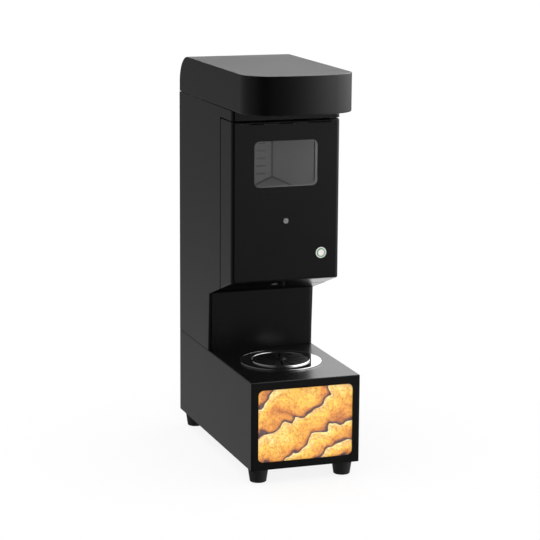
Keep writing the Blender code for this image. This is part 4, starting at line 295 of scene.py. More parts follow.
def make_finishes():
    new_finish("black_paint", grey(0.0012), grey(0.0018), (0.25, 0.28), grain=1400.0, bump=0.000004)
    new_finish("gloss_black", grey(0.0012), grey(0.0018), (0.03, 0.06), grain=300.0, bump=0.000002,
               Coat_Weight=1.0, Coat_Roughness=0.03)
    new_finish("black_plastic", grey(0.006), grey(0.009), (0.38, 0.46), grain=1800.0, bump=0.00002)
    new_finish("black_rubber", grey(0.006), grey(0.010), (0.55, 0.68), grain=1500.0, bump=0.00004)
    new_finish("steel", grey(0.50), grey(0.58), (0.28, 0.36), patch=30.0, grain=260.0, bump=0.00001,
               stretch=(1, 1, 12), Metallic=1.0)
    liner_finish()
    new_finish("bright_silver", grey(0.88), grey(0.94), (0.24, 0.32), patch=60.0, grain=500.0,
               bump=0.000006, Metallic=0.25)
    new_finish("pale_key", (0.84, 0.77, 0.77, 1), (0.90, 0.84, 0.84, 1), (0.30, 0.38), patch=120.0,
               grain=900.0, bump=0.000004, Metallic=0.15)
    new_finish("tray_black", grey(0.0020), grey(0.0032), (0.42, 0.50), grain=1500.0, bump=0.000012,
               Specular_IOR_Level=0.35)
    new_finish("nozzle_black", grey(0.0016), grey(0.0026), (0.45, 0.52), grain=1500.0, bump=0.000012,
               Specular_IOR_Level=0.1)
    new_finish("satin_steel", grey(0.58), grey(0.64), (0.34, 0.42), patch=30.0, grain=260.0, bump=0.00001,
               stretch=(1, 1, 12), Metallic=0.25)
    # Painted light: the hopper floor glows faintly, though it is no lamp
    new_finish("floor_steel", grey(0.56), grey(0.62), (0.30, 0.36), patch=24.0, grain=260.0, bump=0.00001,
               stretch=(1, 10, 1), Metallic=0.25, Emission_Color=grey(1.0), Emission_Strength=0.025)
    # Painted light: the heater plate glows faintly, though it is no lamp
    new_finish("heater_plate", (0.42, 0.40, 0.37, 1), (0.52, 0.50, 0.46, 1), (0.55, 0.65), patch=80.0,
               grain=700.0, bump=0.00004, Emission_Color=grey(1.0), Emission_Strength=0.075)
    new_finish("zinc", (0.52, 0.53, 0.55, 1), (0.62, 0.62, 0.61, 1), (0.34, 0.44), patch=60.0, grain=500.0,
               bump=0.00002, Metallic=1.0)
    new_finish("chrome", grey(0.80), grey(0.86), (0.05, 0.09), patch=30.0, grain=200.0, bump=0.000002,
               Metallic=1.0)
    new_finish("aluminium", grey(0.66), grey(0.72), (0.26, 0.34), patch=40.0, grain=500.0, bump=0.00001,
               stretch=(1, 1, 6), Metallic=1.0)
    new_finish("white_plastic", (0.74, 0.74, 0.72, 1), (0.80, 0.80, 0.78, 1), (0.36, 0.44), grain=1500.0,
               bump=0.00001)
    new_finish("clear_plastic", grey(0.30), grey(0.34), (0.03, 0.06), grain=300.0, bump=0.000001,
               Alpha=0.10)
    new_finish("smoked_glass", grey(0.010), grey(0.014), (0.03, 0.05), grain=300.0, bump=0.000001,
               Alpha=0.12)
    new_finish("silicone", (0.70, 0.71, 0.69, 1), (0.77, 0.78, 0.76, 1), (0.30, 0.38), grain=900.0,
               bump=0.00001, Subsurface_Weight=0.2, Subsurface_Scale=0.002)
    # Painted light: the insulation glows faintly, though it is no lamp
    new_finish("insulation", (0.58, 0.53, 0.40, 1), (0.74, 0.69, 0.56, 1), (0.85, 0.95), patch=40.0,
               grain=600.0, bump=0.0006, Emission_Color=grey(1.0), Emission_Strength=0.04)
    new_finish("circuit_green", (0.02, 0.12, 0.04, 1), (0.03, 0.17, 0.06, 1), (0.35, 0.45), patch=90.0,
               grain=500.0, bump=0.00004)
    new_finish("green_light", (0.03, 0.24, 0.04, 1), (0.06, 0.33, 0.07, 1), (0.25, 0.32), patch=200.0,
               Emission_Color=(0.10, 0.60, 0.12, 1), Emission_Strength=0.08)
    new_finish("brass", (0.66, 0.50, 0.22, 1), (0.76, 0.60, 0.30, 1), (0.25, 0.32), patch=120.0,
               Metallic=1.0)
    picture_finish()
    cover_finish()
    hinge_finish()
    rosette_finish()


# Modelling

def let_go():
    """Leave edit mode with nothing selected."""
    if bpy.context.mode != "OBJECT":
        bpy.ops.object.mode_set(mode="OBJECT")
    bpy.ops.object.select_all(action="DESELECT")


def take(piece):
    let_go()
    piece.select_set(True)
    bpy.context.view_layer.objects.active = piece
    return piece


def named(name):
    """Name the new primitive and put its place into its mesh."""
    piece = bpy.context.object
    piece.name = piece.data.name = name
    bpy.ops.object.transform_apply(location=True, rotation=True, scale=True)
    return piece


def pick(piece, kind, chosen):
    """Edit a piece with only the chosen verts, edges or faces selected."""
    take(piece)
    bpy.ops.object.mode_set(mode="EDIT")
    bpy.ops.mesh.select_mode(type=kind)
    bpy.ops.mesh.select_all(action="DESELECT")
    shape = bmesh.from_edit_mesh(piece.data)
    for element in {"VERT": shape.verts, "EDGE": shape.edges, "FACE": shape.faces}[kind]:
        if chosen(element):
            element.select_set(True)
    shape.select_flush_mode()
    bmesh.update_edit_mesh(piece.data)


def block(name, low, high):
    let_go()
    middle = [(a + b) / 2 for a, b in zip(low, high)]
    bpy.ops.mesh.primitive_cube_add(size=1, location=middle, scale=[b - a for a, b in zip(low, high)])
    return named(name)


def rod(name, start, end, radius, steps=32):
    let_go()
    start, end = Vector(start), Vector(end)
    turn = Vector((0, 0, 1)).rotation_difference(end - start).to_euler()
    bpy.ops.mesh.primitive_cylinder_add(vertices=steps, radius=radius, depth=(end - start).length,
                                        location=(start + end) / 2, rotation=turn)
    return named(name)


def lies_along(edge, axis):
    """True for an edge parallel to one of the three axes."""
    low, high = (vert.co for vert in edge.verts)
    return all(abs(low[i] - high[i]) < 1e-5 for i in range(3) if i != axis)


def bevel_edges(piece, chosen, radius, steps):
    pick(piece, "EDGE", chosen)
    bpy.ops.mesh.bevel(offset=radius, segments=steps, affect="EDGES")
    let_go()
    return piece


def delete_faces(piece, chosen):
    pick(piece, "FACE", chosen)
    bpy.ops.mesh.delete(type="FACE")
    let_go()
    return piece


def rounded_block(name, low, high, radius, axis, steps=10):
    """A block whose four edges along one axis are rounded."""
    return bevel_edges(block(name, low, high), lambda edge: lies_along(edge, axis), radius, steps)


def apply(piece, kind, **settings):
    take(piece)
    modifier = piece.modifiers.new(kind.lower(), kind)
    for name, value in settings.items():
        setattr(modifier, name, value)
    bpy.ops.object.modifier_apply(modifier=modifier.name)
    return piece


def thicken(piece, thickness=SHEET, even=True):
    return apply(piece, "SOLIDIFY", thickness=thickness, offset=-1, use_even_offset=even)


def combine(piece, tool, operation="DIFFERENCE"):
    apply(piece, "BOOLEAN", operation=operation, solver="EXACT", object=tool)
    bpy.data.objects.remove(tool, do_unlink=True)
    return piece


def soften(piece, width, steps=2, angle=32):
    """Break the sharp edges."""
    return apply(piece, "BEVEL", width=width, segments=steps, limit_method="ANGLE",
                 angle_limit=math.radians(angle))


def lay_line(name, points):
    """Lay a line of edges, point by point."""
    let_go()
    bpy.ops.mesh.primitive_plane_add(size=0.002, location=points[0])
    piece = named(name)
    bpy.ops.object.mode_set(mode="EDIT")
    bpy.ops.mesh.select_mode(type="VERT")
    bpy.ops.mesh.select_all(action="SELECT")
    bpy.ops.mesh.merge(type="CENTER")
    for here, there in zip(points, points[1:]):
        bpy.ops.mesh.extrude_region_move(TRANSFORM_OT_translate={"value": Vector(there) - Vector(here)})
    return piece


def turned(name, profile, centre, axis, steps=64, closed=False):
    """Spin a profile of (radius, height) points round an axis through a centre."""
    centre = Vector(centre)
    along = Vector(((1, 0, 0), (0, 1, 0), (0, 0, 1))[axis])
    out = Vector(((0, 1, 0), (1, 0, 0), (1, 0, 0))[axis])
    start = centre - along * centre[axis]
    points = [start + out * radius + along * height for radius, height in profile]
    piece = lay_line(name, points + points[:1] if closed else points)
    bpy.ops.mesh.select_all(action="SELECT")
    bpy.ops.mesh.remove_doubles(threshold=1e-6)
    bpy.ops.mesh.select_all(action="SELECT")
    bpy.ops.mesh.spin(steps=steps, angle=math.tau, center=centre, axis=along)
    bpy.ops.mesh.select_all(action="SELECT")
    bpy.ops.mesh.remove_doubles(threshold=1e-6)
    bpy.ops.mesh.select_all(action="SELECT")
    bpy.ops.mesh.normals_make_consistent(inside=False)
    let_go()
    return piece


def cut_out(name, points, reach):
    """Fill a laid outline and push it out to a slab."""
    piece = lay_line(name, points)
    bpy.ops.mesh.select_all(action="SELECT")
    bpy.ops.mesh.edge_face_add()
    bpy.ops.mesh.extrude_region_move(TRANSFORM_OT_translate={"value": reach})
    bpy.ops.mesh.select_all(action="SELECT")
    bpy.ops.mesh.normals_make_consistent(inside=False)
    let_go()
    return piece


def arc(centre, radius, start_deg, end_deg, steps):
    angles = [math.radians(start_deg + (end_deg - start_deg) * step / steps) for step in range(steps + 1)]
    return [(centre[0] + radius * math.cos(a), centre[1] + radius * math.sin(a)) for a in angles]


def copied(piece, name, move):
    """Copy a piece, mesh and all, and shift the copy."""
    take(piece)
    bpy.ops.object.duplicate()
    copy = bpy.context.object
    copy.name = copy.data.name = name
    copy.location = move
    bpy.ops.object.transform_apply(location=True, rotation=True, scale=True)
    return copy


def fit(piece, body, finish, *nodes, slot=None, smooth=32):
    """Smooth a finished piece, give it its finish, and let it ride in place of its nodes."""
    take(piece)
    bpy.ops.object.shade_smooth_by_angle(angle=math.radians(smooth))
    apply(piece, "WEIGHTED_NORMAL", keep_sharp=True, weight=60)
    piece.data.materials.clear()
    piece.data.materials.append(FINISH[finish])
    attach(piece, body)
    if nodes:
        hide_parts(*nodes)
    return piece


def underside_z(y):
    return NECK_TOP_Z + (NECK_FRONT_Y - y) * UNDERSIDE_SLOPE


# Base

def base_casing():
    """Base shell, open below and at the back, with the picture's opening and two holes in its top."""
    low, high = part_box("base_housing")
    piece = block("base_casing", low, high)
    delete_faces(piece, lambda face: face.normal.z < -0.5 or face.normal.y > 0.5)
    bevel_edges(piece, lambda edge: len(edge.link_faces) == 2, SHEET_FOLD, 4)
    thicken(piece, even=False)
    combine(piece, rounded_block("window_cutter", (-PICTURE_HALF_WIDTH, low.y - CUT, PICTURE_LOW_Z),
                                 (PICTURE_HALF_WIDTH, low.y + CUT, PICTURE_HIGH_Z), OPENING_CORNER, 1))
    below, above = high.z - CUT, high.z + CUT
    x, y = TRAY_CENTRE[:2]
    combine(piece, rod("tray_cutter", (x, y, below), (x, y, above), TRAY_HOLE_RADIUS, 96))
    combine(piece, block("wiring_cutter", (-0.025, 0.07875, below), (0.025, 0.1275, above)))
    soften(piece, SHEET_BREAK)
    fit(piece, "cabinet", "black_paint", "base_housing")


def feet():
    """Four tapered rubber feet, each with a rounded toe, a hollow sole and a screw hole."""
    low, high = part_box("foot_front_left")
    wide, tall, narrow, brim, toe = (high.x - low.x) / 2, high.z, 0.0154, 0.0007, 0.0020
    profile = [(0, 0.0137), (0.0026, 0.0137), (0.0026, tall - 0.0013), (0.0033, tall), (wide - brim, tall)]
    profile += arc((wide - brim, tall - brim), brim, 80, 0, 3)
    profile += arc((narrow - 0.0019, toe), toe, 8, -90, 6)
    profile += [(narrow - 0.0047, 0), (narrow - 0.0052, 0.0012), (0, 0.0012)]
    first = None
    for node in ("foot_front_left", "foot_front_right", "foot_rear_left", "foot_rear_right"):
        low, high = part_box(node)
        place = Vector(((low.x + high.x) / 2, (low.y + high.y) / 2, 0))
        if first is None:
            first, start = turned(node + "_moulding", profile, place, 2, 64), place
            fit(first, "cabinet", "black_rubber", node)
        else:
            fit(copied(first, node + "_moulding", place - start), "cabinet", "black_rubber", node)


def picture_window():
    low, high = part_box("picture_cover")
    cover = rounded_block("picture_pane", low, high, OPENING_CORNER, 1)
    soften(cover, FINE_BREAK)
    fit(cover, "cabinet", "clear_plastic", "picture_cover")
    low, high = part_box("picture_print")
    sheet = rounded_block("picture_film", low, high, OPENING_CORNER, 1)
    soften(sheet, 0.0001)
    fit(sheet, "cabinet", "picture", "picture_print")


# Drip tray

def drip_tray():
    """Turned pieces of the tray from profiles of (radius, height), and the grate's twelve slots."""
    disc = [(0.0563, 0.1951), (0.0563, 0.1933), (0.0770, 0.1933)]
    disc += [(0.0764 + 0.0006 * math.cos(a), 0.1945 + 0.0006 * math.sin(a)) for a in
             [math.radians(d) for d in (0, 22, 45, 68, 90)]]
    fit(turned("tray_gloss_disc", disc, TRAY_CENTRE, 2, 128, True), "cabinet", "gloss_black", "tray_disc")
    edge = [(0.0771, 0.1933), (0.0771, 0.1945)] + arc((0.0765, 0.1946), 0.0006, 0, 90, 4)
    edge += [(0.0757, 0.1952), (0.0757, 0.1951), (0.0769, 0.1944), (0.0769, 0.1933)]
    fit(turned("tray_polished_edge", edge, TRAY_CENTRE, 2, 128, True), "cabinet", "chrome", slot="chrome")
    ring = [(0.0560, 0.1933), (0.0560, 0.1940)] + arc((0.0546, 0.1963), 0.0011, 0, 180, 10)
    ring += [(0.0530, 0.1940), (0.0525, 0.1933)]
    fit(turned("tray_bright_ring", ring, TRAY_CENTRE, 2, 128, True), "cabinet", "chrome", "tray_ring")
    bowl = [(0.0521, 0.1945), (0.0521, 0.1933), (0.0478, 0.1933)]
    bowl += arc((0.0418, 0.1625), 0.0060, 0, -90, 8) + [(0, 0.1565), (0, 0.1577)]
    bowl += arc((0.0418, 0.1625), 0.0048, -90, 0, 8) + [(0.0466, 0.1940), (0.0471, 0.1945)]
    fit(turned("drip_bowl_moulding", bowl, TRAY_CENTRE, 2, 96, True), "drip_bowl", "tray_black",
        "drip_bowl", slot="black_plastic")
    grate = [(0, 0.1948), (0.0519, 0.1948), (0.0521, 0.1950), (0.0521, 0.1964), (0.0517, 0.1968),
             (0.0470, 0.1968), (0.0460, 0.1964), (0.0140, 0.1964), (0.0095, 0.1966), (0.0085, 0.1972)]
    grate += [(0.0080, 0.1988), (0.0060, 0.1997), (0.0020, 0.1998), (0, 0.1998)]
    piece = turned("drip_grate_moulding", grate, TRAY_CENTRE, 2, 96)
    slot = rounded_block("slot_cutter", (0.0130, -0.0015, 0.190), (0.0451, 0.0015, 0.202), 0.00149, 2, 5)
    for index in range(12):
        tool = copied(slot, "slot_tool", (0, 0, 0))
        take(tool)
        bpy.ops.object.mode_set(mode="EDIT")
        bpy.ops.mesh.select_all(action="SELECT")
        bpy.ops.transform.rotate(value=-math.tau * (index + 0.5) / 12, orient_axis="Z",
                                 center_override=(0, 0, 0))
        bpy.ops.transform.translate(value=TRAY_CENTRE)
        combine(piece, tool)
    bpy.data.objects.remove(slot, do_unlink=True)
    soften(piece, FINE_BREAK)
    fit(piece, "drip_grate", "tray_black", "drip_grate", slot="black_plastic")


# Housing

def housing_casing():
    """One bent sheet: both sides, the neck's front and the band above the door."""
    bottom, top, band, edge = 0.19315, 0.6700, 0.652, -0.03725
    corner = arc((edge - 0.003, band - 0.003), 0.003, 0, 90, 5)
    outline = [(BACK_Y, bottom), (NECK_FRONT_Y, bottom), (NECK_FRONT_Y, NECK_TOP_Z),
               (edge, underside_z(edge))]
    outline += corner + [(DOOR_FRONT_Y, band), (DOOR_FRONT_Y, top), (BACK_Y, top)]
    piece = cut_out("housing_casing", [(-HALF_WIDTH, y, z) for y, z in outline], (2 * HALF_WIDTH, 0, 0))

    def is_open(face):
        front = face.normal.y < -0.99 and abs(face.calc_center_median().y - edge) > SHEET
        return not (abs(face.normal.x) > 0.5 or front)

    delete_faces(piece, is_open)

    def is_bend(edge):
        fronts = (NECK_FRONT_Y, DOOR_FRONT_Y)
        at_front = any(all(abs(vert.co.y - y) < 1e-4 for vert in edge.verts) for y in fronts)
        return lies_along(edge, 2) and at_front and len(edge.link_faces) == 2

    bevel_edges(piece, is_bend, COLUMN_BEND, 10)
    thicken(piece)
    soften(piece, SHEET_BREAK)
    fit(piece, "cabinet", "black_paint", "main_housing")


def lid_cap():
    """Lid with square back corners, large front corners, a bowed front and a rolled back edge."""
    low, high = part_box("lid")
    front = low.y
    corner_x = HALF_WIDTH - LID_CORNER
    bow_radius = (corner_x ** 2 + LID_BOW ** 2) / (2 * LID_BOW)
    lean = math.degrees(math.asin(corner_x / bow_radius))
    corner_y = front + LID_BOW + LID_CORNER * math.cos(math.radians(lean))
    centre_x = corner_x - LID_CORNER * math.sin(math.radians(lean))
    side_x = centre_x + LID_CORNER
    plan = [(side_x, BACK_Y), (-side_x, BACK_Y)]
    plan += arc((-centre_x, corner_y), LID_CORNER, 180, 270 - lean, 24)
    plan += arc((0, front + bow_radius), bow_radius, 270 - lean, 270 + lean, 16)[1:-1]
    plan += arc((centre_x, corner_y), LID_CORNER, 270 + lean, 360, 24)
    stretch = HALF_WIDTH / side_x
    rim_z = low.z + 0.0005
    soffit_back_y = -0.1035
    piece = cut_out("lid_cap", [(x * stretch, y, rim_z) for x, y in plan], (0, 0, high.z - rim_z))

    def is_back_edge(edge):
        return all(vert.co.y > BACK_Y - 1e-4 and vert.co.z > high.z - 1e-4 for vert in edge.verts)

    bevel_edges(piece, is_back_edge, LID_ROLL, 20)
    pick(piece, "FACE", lambda face: True)
    bpy.ops.mesh.bisect(plane_co=(0, soffit_back_y, 0), plane_no=(0, 1, 0))
    delete_faces(piece, lambda face: face.normal.z < -0.5 and face.calc_center_median().y > soffit_back_y)

    def is_rim(edge):
        return len(edge.link_faces) == 2 and edge.calc_face_angle() > math.radians(40)

    bevel_edges(piece, is_rim, SHEET_FOLD, 4)
    thicken(piece)
    soften(piece, 0.0005, 3, angle=50)
    fit(piece, "cabinet", "black_paint", "lid")


# Door

def door_skin():
    """Deep folded door with return lips, the window and the holes for the button and the indicator."""
    back, top, lip = -0.03875, 0.650, 0.0085
    outline = [(DOOR_FRONT_Y, underside_z(DOOR_FRONT_Y)), (back, underside_z(back)), (back, top),
               (DOOR_FRONT_Y, top)]
    piece = cut_out("door_skin", [(-HALF_WIDTH, y, z) for y, z in outline], (2 * HALF_WIDTH, 0, 0))
    pick(piece, "FACE", lambda face: face.normal.y > 0.99)
    bpy.ops.mesh.inset(thickness=lip)
    bpy.ops.mesh.delete(type="FACE")
    let_go()

    def is_bend(edge):
        return lies_along(edge, 2) and all(vert.co.y < DOOR_FRONT_Y + 1e-4 for vert in edge.verts)

    def is_fold(edge):
        return len(edge.link_faces) == 2 and edge.calc_face_angle() > math.radians(35)

    bevel_edges(piece, is_bend, DOOR_BEND, 10)
    bevel_edges(piece, is_fold, DOOR_FOLD, 4)
    thicken(piece)
    near, far = DOOR_FRONT_Y - CUT, DOOR_FRONT_Y + CUT / 2
    combine(piece, rounded_block("window_cutter", (-VIEW_HALF_WIDTH, near, VIEW_LOW_Z),
                                 (VIEW_HALF_WIDTH, far, VIEW_HIGH_Z), OPENING_CORNER, 1))
    for name, (x, y, z), radius, steps in (("button_cutter", BUTTON, 0.0095, 48),
                                           ("indicator_cutter", INDICATOR, 0.0058, 40)):
        combine(piece, rod(name, (x, near, z), (x, far, z), radius, steps))
    combine(piece, block("hinge_cutter", (-0.087, near, 0.6436), (0.087, -0.1010, 0.66)))
    combine(piece, block("nozzle_cutter", (-0.0085, -0.0923, 0.32), (0.0085, -0.036, 0.360)))
    soften(piece, SHEET_BREAK, angle=50)
    fit(piece, "door", "black_paint", "door_shell")


def door_glazing():
    """The door's pane and the rubber seal round it."""
    low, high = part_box("door_window")
    pane = rounded_block("window_pane", low, high, OPENING_CORNER, 1)
    soften(pane, SHEET_BREAK)
    fit(pane, "door", "smoked_glass", "door_window")
    low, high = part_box("window_gasket")
    seal = rounded_block("window_seal", low, high, OPENING_CORNER, 1)
    inset = Vector((0.006, -CUT, 0.006))
    combine(seal, rounded_block("seal_cutter", low + inset, high - inset, OPENING_CORNER, 1))
    soften(seal, 0.0006, 3)
    fit(seal, "door", "black_rubber", "window_gasket")


def inner_door_pan():
    """Steel pan behind the window, with a folded flange round its view opening."""
    low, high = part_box("door_inner_panel")
    piece = block("inner_door_pan", low, high)
    delete_faces(piece, lambda face: face.normal.y < -0.5)
    bevel_edges(piece, lambda edge: len(edge.link_faces) == 2, 0.0015, 3)
    sheet = 0.0012
    thicken(piece, sheet)
    side = VIEW_HALF_WIDTH + sheet
    flange = rounded_block("flange", (-side, high.y - sheet, VIEW_LOW_Z - sheet),
                           (side, high.y + 0.0070, VIEW_HIGH_Z + sheet), OPENING_CORNER + sheet, 1)
    combine(piece, flange, "UNION")
    combine(piece, rounded_block("view_cutter", (-VIEW_HALF_WIDTH, low.y, VIEW_LOW_Z),
                                 (VIEW_HALF_WIDTH, high.y + 2 * CUT, VIEW_HIGH_Z), OPENING_CORNER, 1))
    soften(piece, FINE_BREAK)
    fit(piece, "door", "satin_steel", "door_inner_panel", slot="steel")


def spout_bead():
    """Polished bead round the front of the collar that holds the bag's spout."""
    low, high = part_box("spout_collar")
    radius = (high.x - low.x) / 2
    bead = [(radius + 0.0018 + 0.0014 * math.cos(a), low.y + 0.0018 + 0.0014 * math.sin(a)) for a in
            [math.tau * step / 12 for step in range(12)]]
    skirt = turned("collar_bead", bead, (0, 0, SPOUT_Z), 1, 96, True)
    fit(skirt, "cabinet", "chrome", slot="steel")


def along_hinge(name, start, end, radius, steps):
    """A rod on the hinge's axis."""
    return rod(name, (start, HINGE[1], HINGE[2]), (end, HINGE[1], HINGE[2]), radius, steps)


def hinge_leaves():
    """Two leaves whose knuckles interleave on one pin, and the pin."""
    ends = [-LEAF_HALF_WIDTH] + [-0.06875 + 0.0275 * index for index in range(6)] + [LEAF_HALF_WIDTH]
    spans = list(zip(ends[:-1], ends[1:]))
    for name, node, body, side, edge, first in (
            ("upper_hinge_leaf", "hinge_leaf_housing", "cabinet", 1, 0.0056, 0),
            ("lower_hinge_leaf", "hinge_leaf_door", "door", -1, 0.0029, 1)):
        near, far = sorted(HINGE[2] + side * height for height in (edge, 0.017))
        leaf = block(name, (-LEAF_HALF_WIDTH, -0.1052, near), (LEAF_HALF_WIDTH, -0.1040, far))
        tip, root = sorted(HINGE[2] + side * height for height in (0.0018, 0.0072))
        for start, end in spans[first::2]:
            tab = block("tab", (start + 0.0006, -0.1043, tip), (end - 0.0006, -0.1034, root))
            combine(leaf, tab, "UNION")
            combine(leaf, along_hinge("knuckle", start + 0.0002, end - 0.0002, 0.0026, 28), "UNION")
        combine(leaf, along_hinge("bore", -0.09, 0.09, 0.0014, 24))
        soften(leaf, FINE_BREAK, angle=50)
        fit(leaf, body, "hinge_paint", node, slot="zinc")
    pin = along_hinge("hinge_rod", -0.0855, 0.0855, 0.0010, 24)
    soften(pin, SHEET_BREAK)
    fit(pin, "cabinet", "steel", "hinge_pin")


def push_button():
    """Ring-lit push button with its seal, lit ring and dished cap, and the indicator's lens."""
    bezel = [(0, -0.0970), (0.00635, -0.0970), (0.00635, -0.1051), (0.00835, -0.1051), (0.00835, -0.1086),
             (0.0086, -0.1090), (0.0091, -0.1091), (0.0098, -0.1089), (0.0102, -0.1084), (0.0103, -0.1079),
             (0.0103, -0.1074), (0.0091, -0.1074), (0.0091, -0.0852), (0.0088, -0.0850), (0, -0.0850)]
    piece = turned("button_bezel", bezel, BUTTON, 1, 64)
    x, z = BUTTON[0], BUTTON[2]
    nut = rod("nut", (x, -0.1052, z), (x, -0.1022, z), 0.0125, 6)
    combine(nut, rod("nut_bore", (x, -0.107, z), (x, -0.100, z), 0.0077, 48))
    combine(piece, nut, "UNION")
    soften(piece, 0.0001, angle=50)
    fit(piece, "door", "bright_silver", "button_housing", slot="aluminium")
    seal = [(0.0092, -0.1072), (0.0092, -0.1074), (0.0104, -0.1074), (0.0104, -0.1077), (0.0107, -0.1078),
            (0.0110, -0.1076), (0.0110, -0.1072)]
    fit(turned("button_seal", seal, BUTTON, 1, 64, True), "door", "black_rubber")
    ring = [(0.0068, -0.1054), (0.0068, -0.1084), (0.0070, -0.1086), (0.0075, -0.1087), (0.0080, -0.1086),
            (0.0082, -0.1084), (0.0082, -0.1054)]
    fit(turned("button_glow_ring", ring, BUTTON, 1, 64, True), "door", "green_light", "button_light_ring")
    cap = [(0, -0.1092), (0.0030, -0.10925), (0.0050, -0.1094), (0.0057, -0.1095), (0.0061, -0.1093),
           (0.0062, -0.1090), (0.0062, -0.1011), (0, -0.1011)]
    fit(turned("button_key", cap, BUTTON, 1, 64), "button", "pale_key", "button_cap", slot="aluminium")
    lens = [(0, -0.1080), (0.0030, -0.10795), (0.0052, -0.1077), (0.0061, -0.1075), (0.0063, -0.1073)]
    lens += [(0.0055, -0.1073), (0.0055, -0.1003), (0, -0.1003)]
    fit(turned("indicator_dome", lens, INDICATOR, 1, 48), "door", "indicator_lens", "indicator_lens",
        slot="grey_lens")


def pan_head_screw(name, seat, way):
    """Pan-head screw on its seat, with a rounded head, a cross recess and a plain shank."""
    seat, way = Vector(seat), Vector(way)
    steps = [(0, 0.0021), (0.45, 0.0020), (0.80, 0.0015), (0.96, 0.0008), (1.0, 0.00005)]
    profile = [(SCREW_HEAD_RADIUS * share, height) for share, height in steps]
    profile += [(0.0019, 0.00005), (0.0019, -0.0060), (0.0012, -0.0070), (0, -0.0070)]
    piece = turned(name, profile, (0, 0, 0), 2, 24)
    for half_x, half_y in ((0.0015, 0.00035), (0.00035, 0.0015)):
        combine(piece, block("recess", (-half_x, -half_y, 0.0012), (half_x, half_y, 0.0032)))
    take(piece)
    piece.location = seat
    piece.rotation_euler = Vector((0, 0, 1)).rotation_difference(way).to_euler()
    bpy.ops.object.transform_apply(location=True, rotation=True, scale=True)
    return piece


def screws():
    """Six screws hold the rear cover and four hold the feet from inside the bottom plate."""
    low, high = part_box("rear_cover")
    for index, height in enumerate((0.207, 0.43175, 0.6565)):
        for side, x in (("left", -0.0932), ("right", 0.0932)):
            name = "rear_cover_screw_%s_%d" % (side, index + 1)
            fit(pan_head_screw(name, (x, high.y, height), (0, 1, 0)), "cabinet", "zinc")
    plate_top = 0.0295
    for node in ("foot_front_left", "foot_front_right", "foot_rear_left", "foot_rear_right"):
        low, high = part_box(node)
        seat = ((low.x + high.x) / 2, (low.y + high.y) / 2, plate_top)
        fit(pan_head_screw(node + "_screw", seat, (0, 0, 1)), "cabinet", "zinc")


# Finishes of the pieces that keep their solids

KEPT_FINISHES = {
    "black_paint": ("underside_panel", "base_rear_panel"),
    "cover_paint": ("rear_cover",),
    "black_plastic": ("mains_inlet", "power_switch_frame", "power_switch_rocker", "pump_rotor"),
    "nozzle_black": ("outlet_nozzle",),
    "black_rubber": ("door_seal",),
    "steel": ("spout_collar", "pump_roller_1", "pump_roller_2", "pump_roller_3", "pump_gearmotor",
              "fan_motor"),
    "chamber_steel": ("chamber_liner",),
    "floor_steel": ("hopper_floor",),
    "heater_plate": ("heater_element",),
    "zinc": ("base_bottom_plate", "front_bulkhead", "catch_magnets", "chamber_top", "fan_cover"),
    "aluminium": ("power_supply", "fan_impeller"),
    "white_plastic": ("light_box", "backlight_board", "bag_connector", "pump_body"),
    "silicone": ("pump_tube",),
    "insulation": ("insulation_left", "insulation_right"),
    "circuit_green": ("control_board",),
    "brass": ("inlet_pin_earth", "inlet_pin_live", "inlet_pin_neutral"),
}


def dress_kept_pieces():
    for finish, names in KEPT_FINISHES.items():
        for name in names:
            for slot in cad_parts[name].material_slots:
                slot.material = FINISH[finish]


# Studio

# Levels that the gloss mirrors, by bearing in degrees: 0 is the front and 90 the right side
BRIGHTEST = 4.0
GROUND_RING = ((-180, 0.25), (-162, 0.33), (-130, 0.28), (-98, 0.25), (-66, 0.14), (-33, 0.02), (2, 0.02),
               (14, 0.05), (28, 0.10), (40, 0.18), (117, 0.40), (149, 1.50), (168, 1.30), (180, 0.25))
FLOOR_RING = ((-180, 0.25), (-162, 0.33), (-130, 0.28), (-98, 0.25), (-66, 0.14), (-33, 0.02), (2, 0.02),
              (14, 0.04), (21, 0.07), (28, 0.10), (40, 0.18), (117, 0.22), (149, 0.20), (180, 0.25))
MIDDLE_RING = ((-180, 0.12), (-162, 0.18), (-130, 0.24), (-98, 0.21), (-66, 0.12), (-33, 0.015), (0, 0.015),
               (12, 0.12), (19, 0.28), (28, 0.36), (40, 0.30), (117, 0.25), (149, 0.20), (180, 0.12))
LOW_RING = ((-180, 0.10), (-162, 0.15), (-146, 0.19), (-130, 0.24), (-98, 0.20), (-66, 0.11), (-33, 0.01),
            (0, 0.01), (12, 0.10), (20, 0.33), (27, 0.80), (42, 2.7), (75, 2.6), (101, 1.8), (133, 0.30),
            (152, 0.06), (180, 0.04))
HIGH_RING = ((-180, 0.50), (-162, 0.12), (-130, 0.14), (-98, 0.18), (-66, 0.2), (-33, 0.03), (0, 0.03),
             (14, 0.04), (21, 0.08), (28, 0.35), (42, 2.0), (101, 2.0), (145, 3.2), (163, 2.4), (180, 0.50))
RINGS = (GROUND_RING, FLOOR_RING, MIDDLE_RING, LOW_RING, HIGH_RING)
# Where one ring of levels turns into the next, in degrees above the horizon
RING_STEPS = ((-21.0, -17.0, "LINEAR"), (-14.2, -10.5, "LINEAR"), (-8.5, -6.8, "LINEAR"),
              (12.0, 14.5, "SMOOTHERSTEP"))


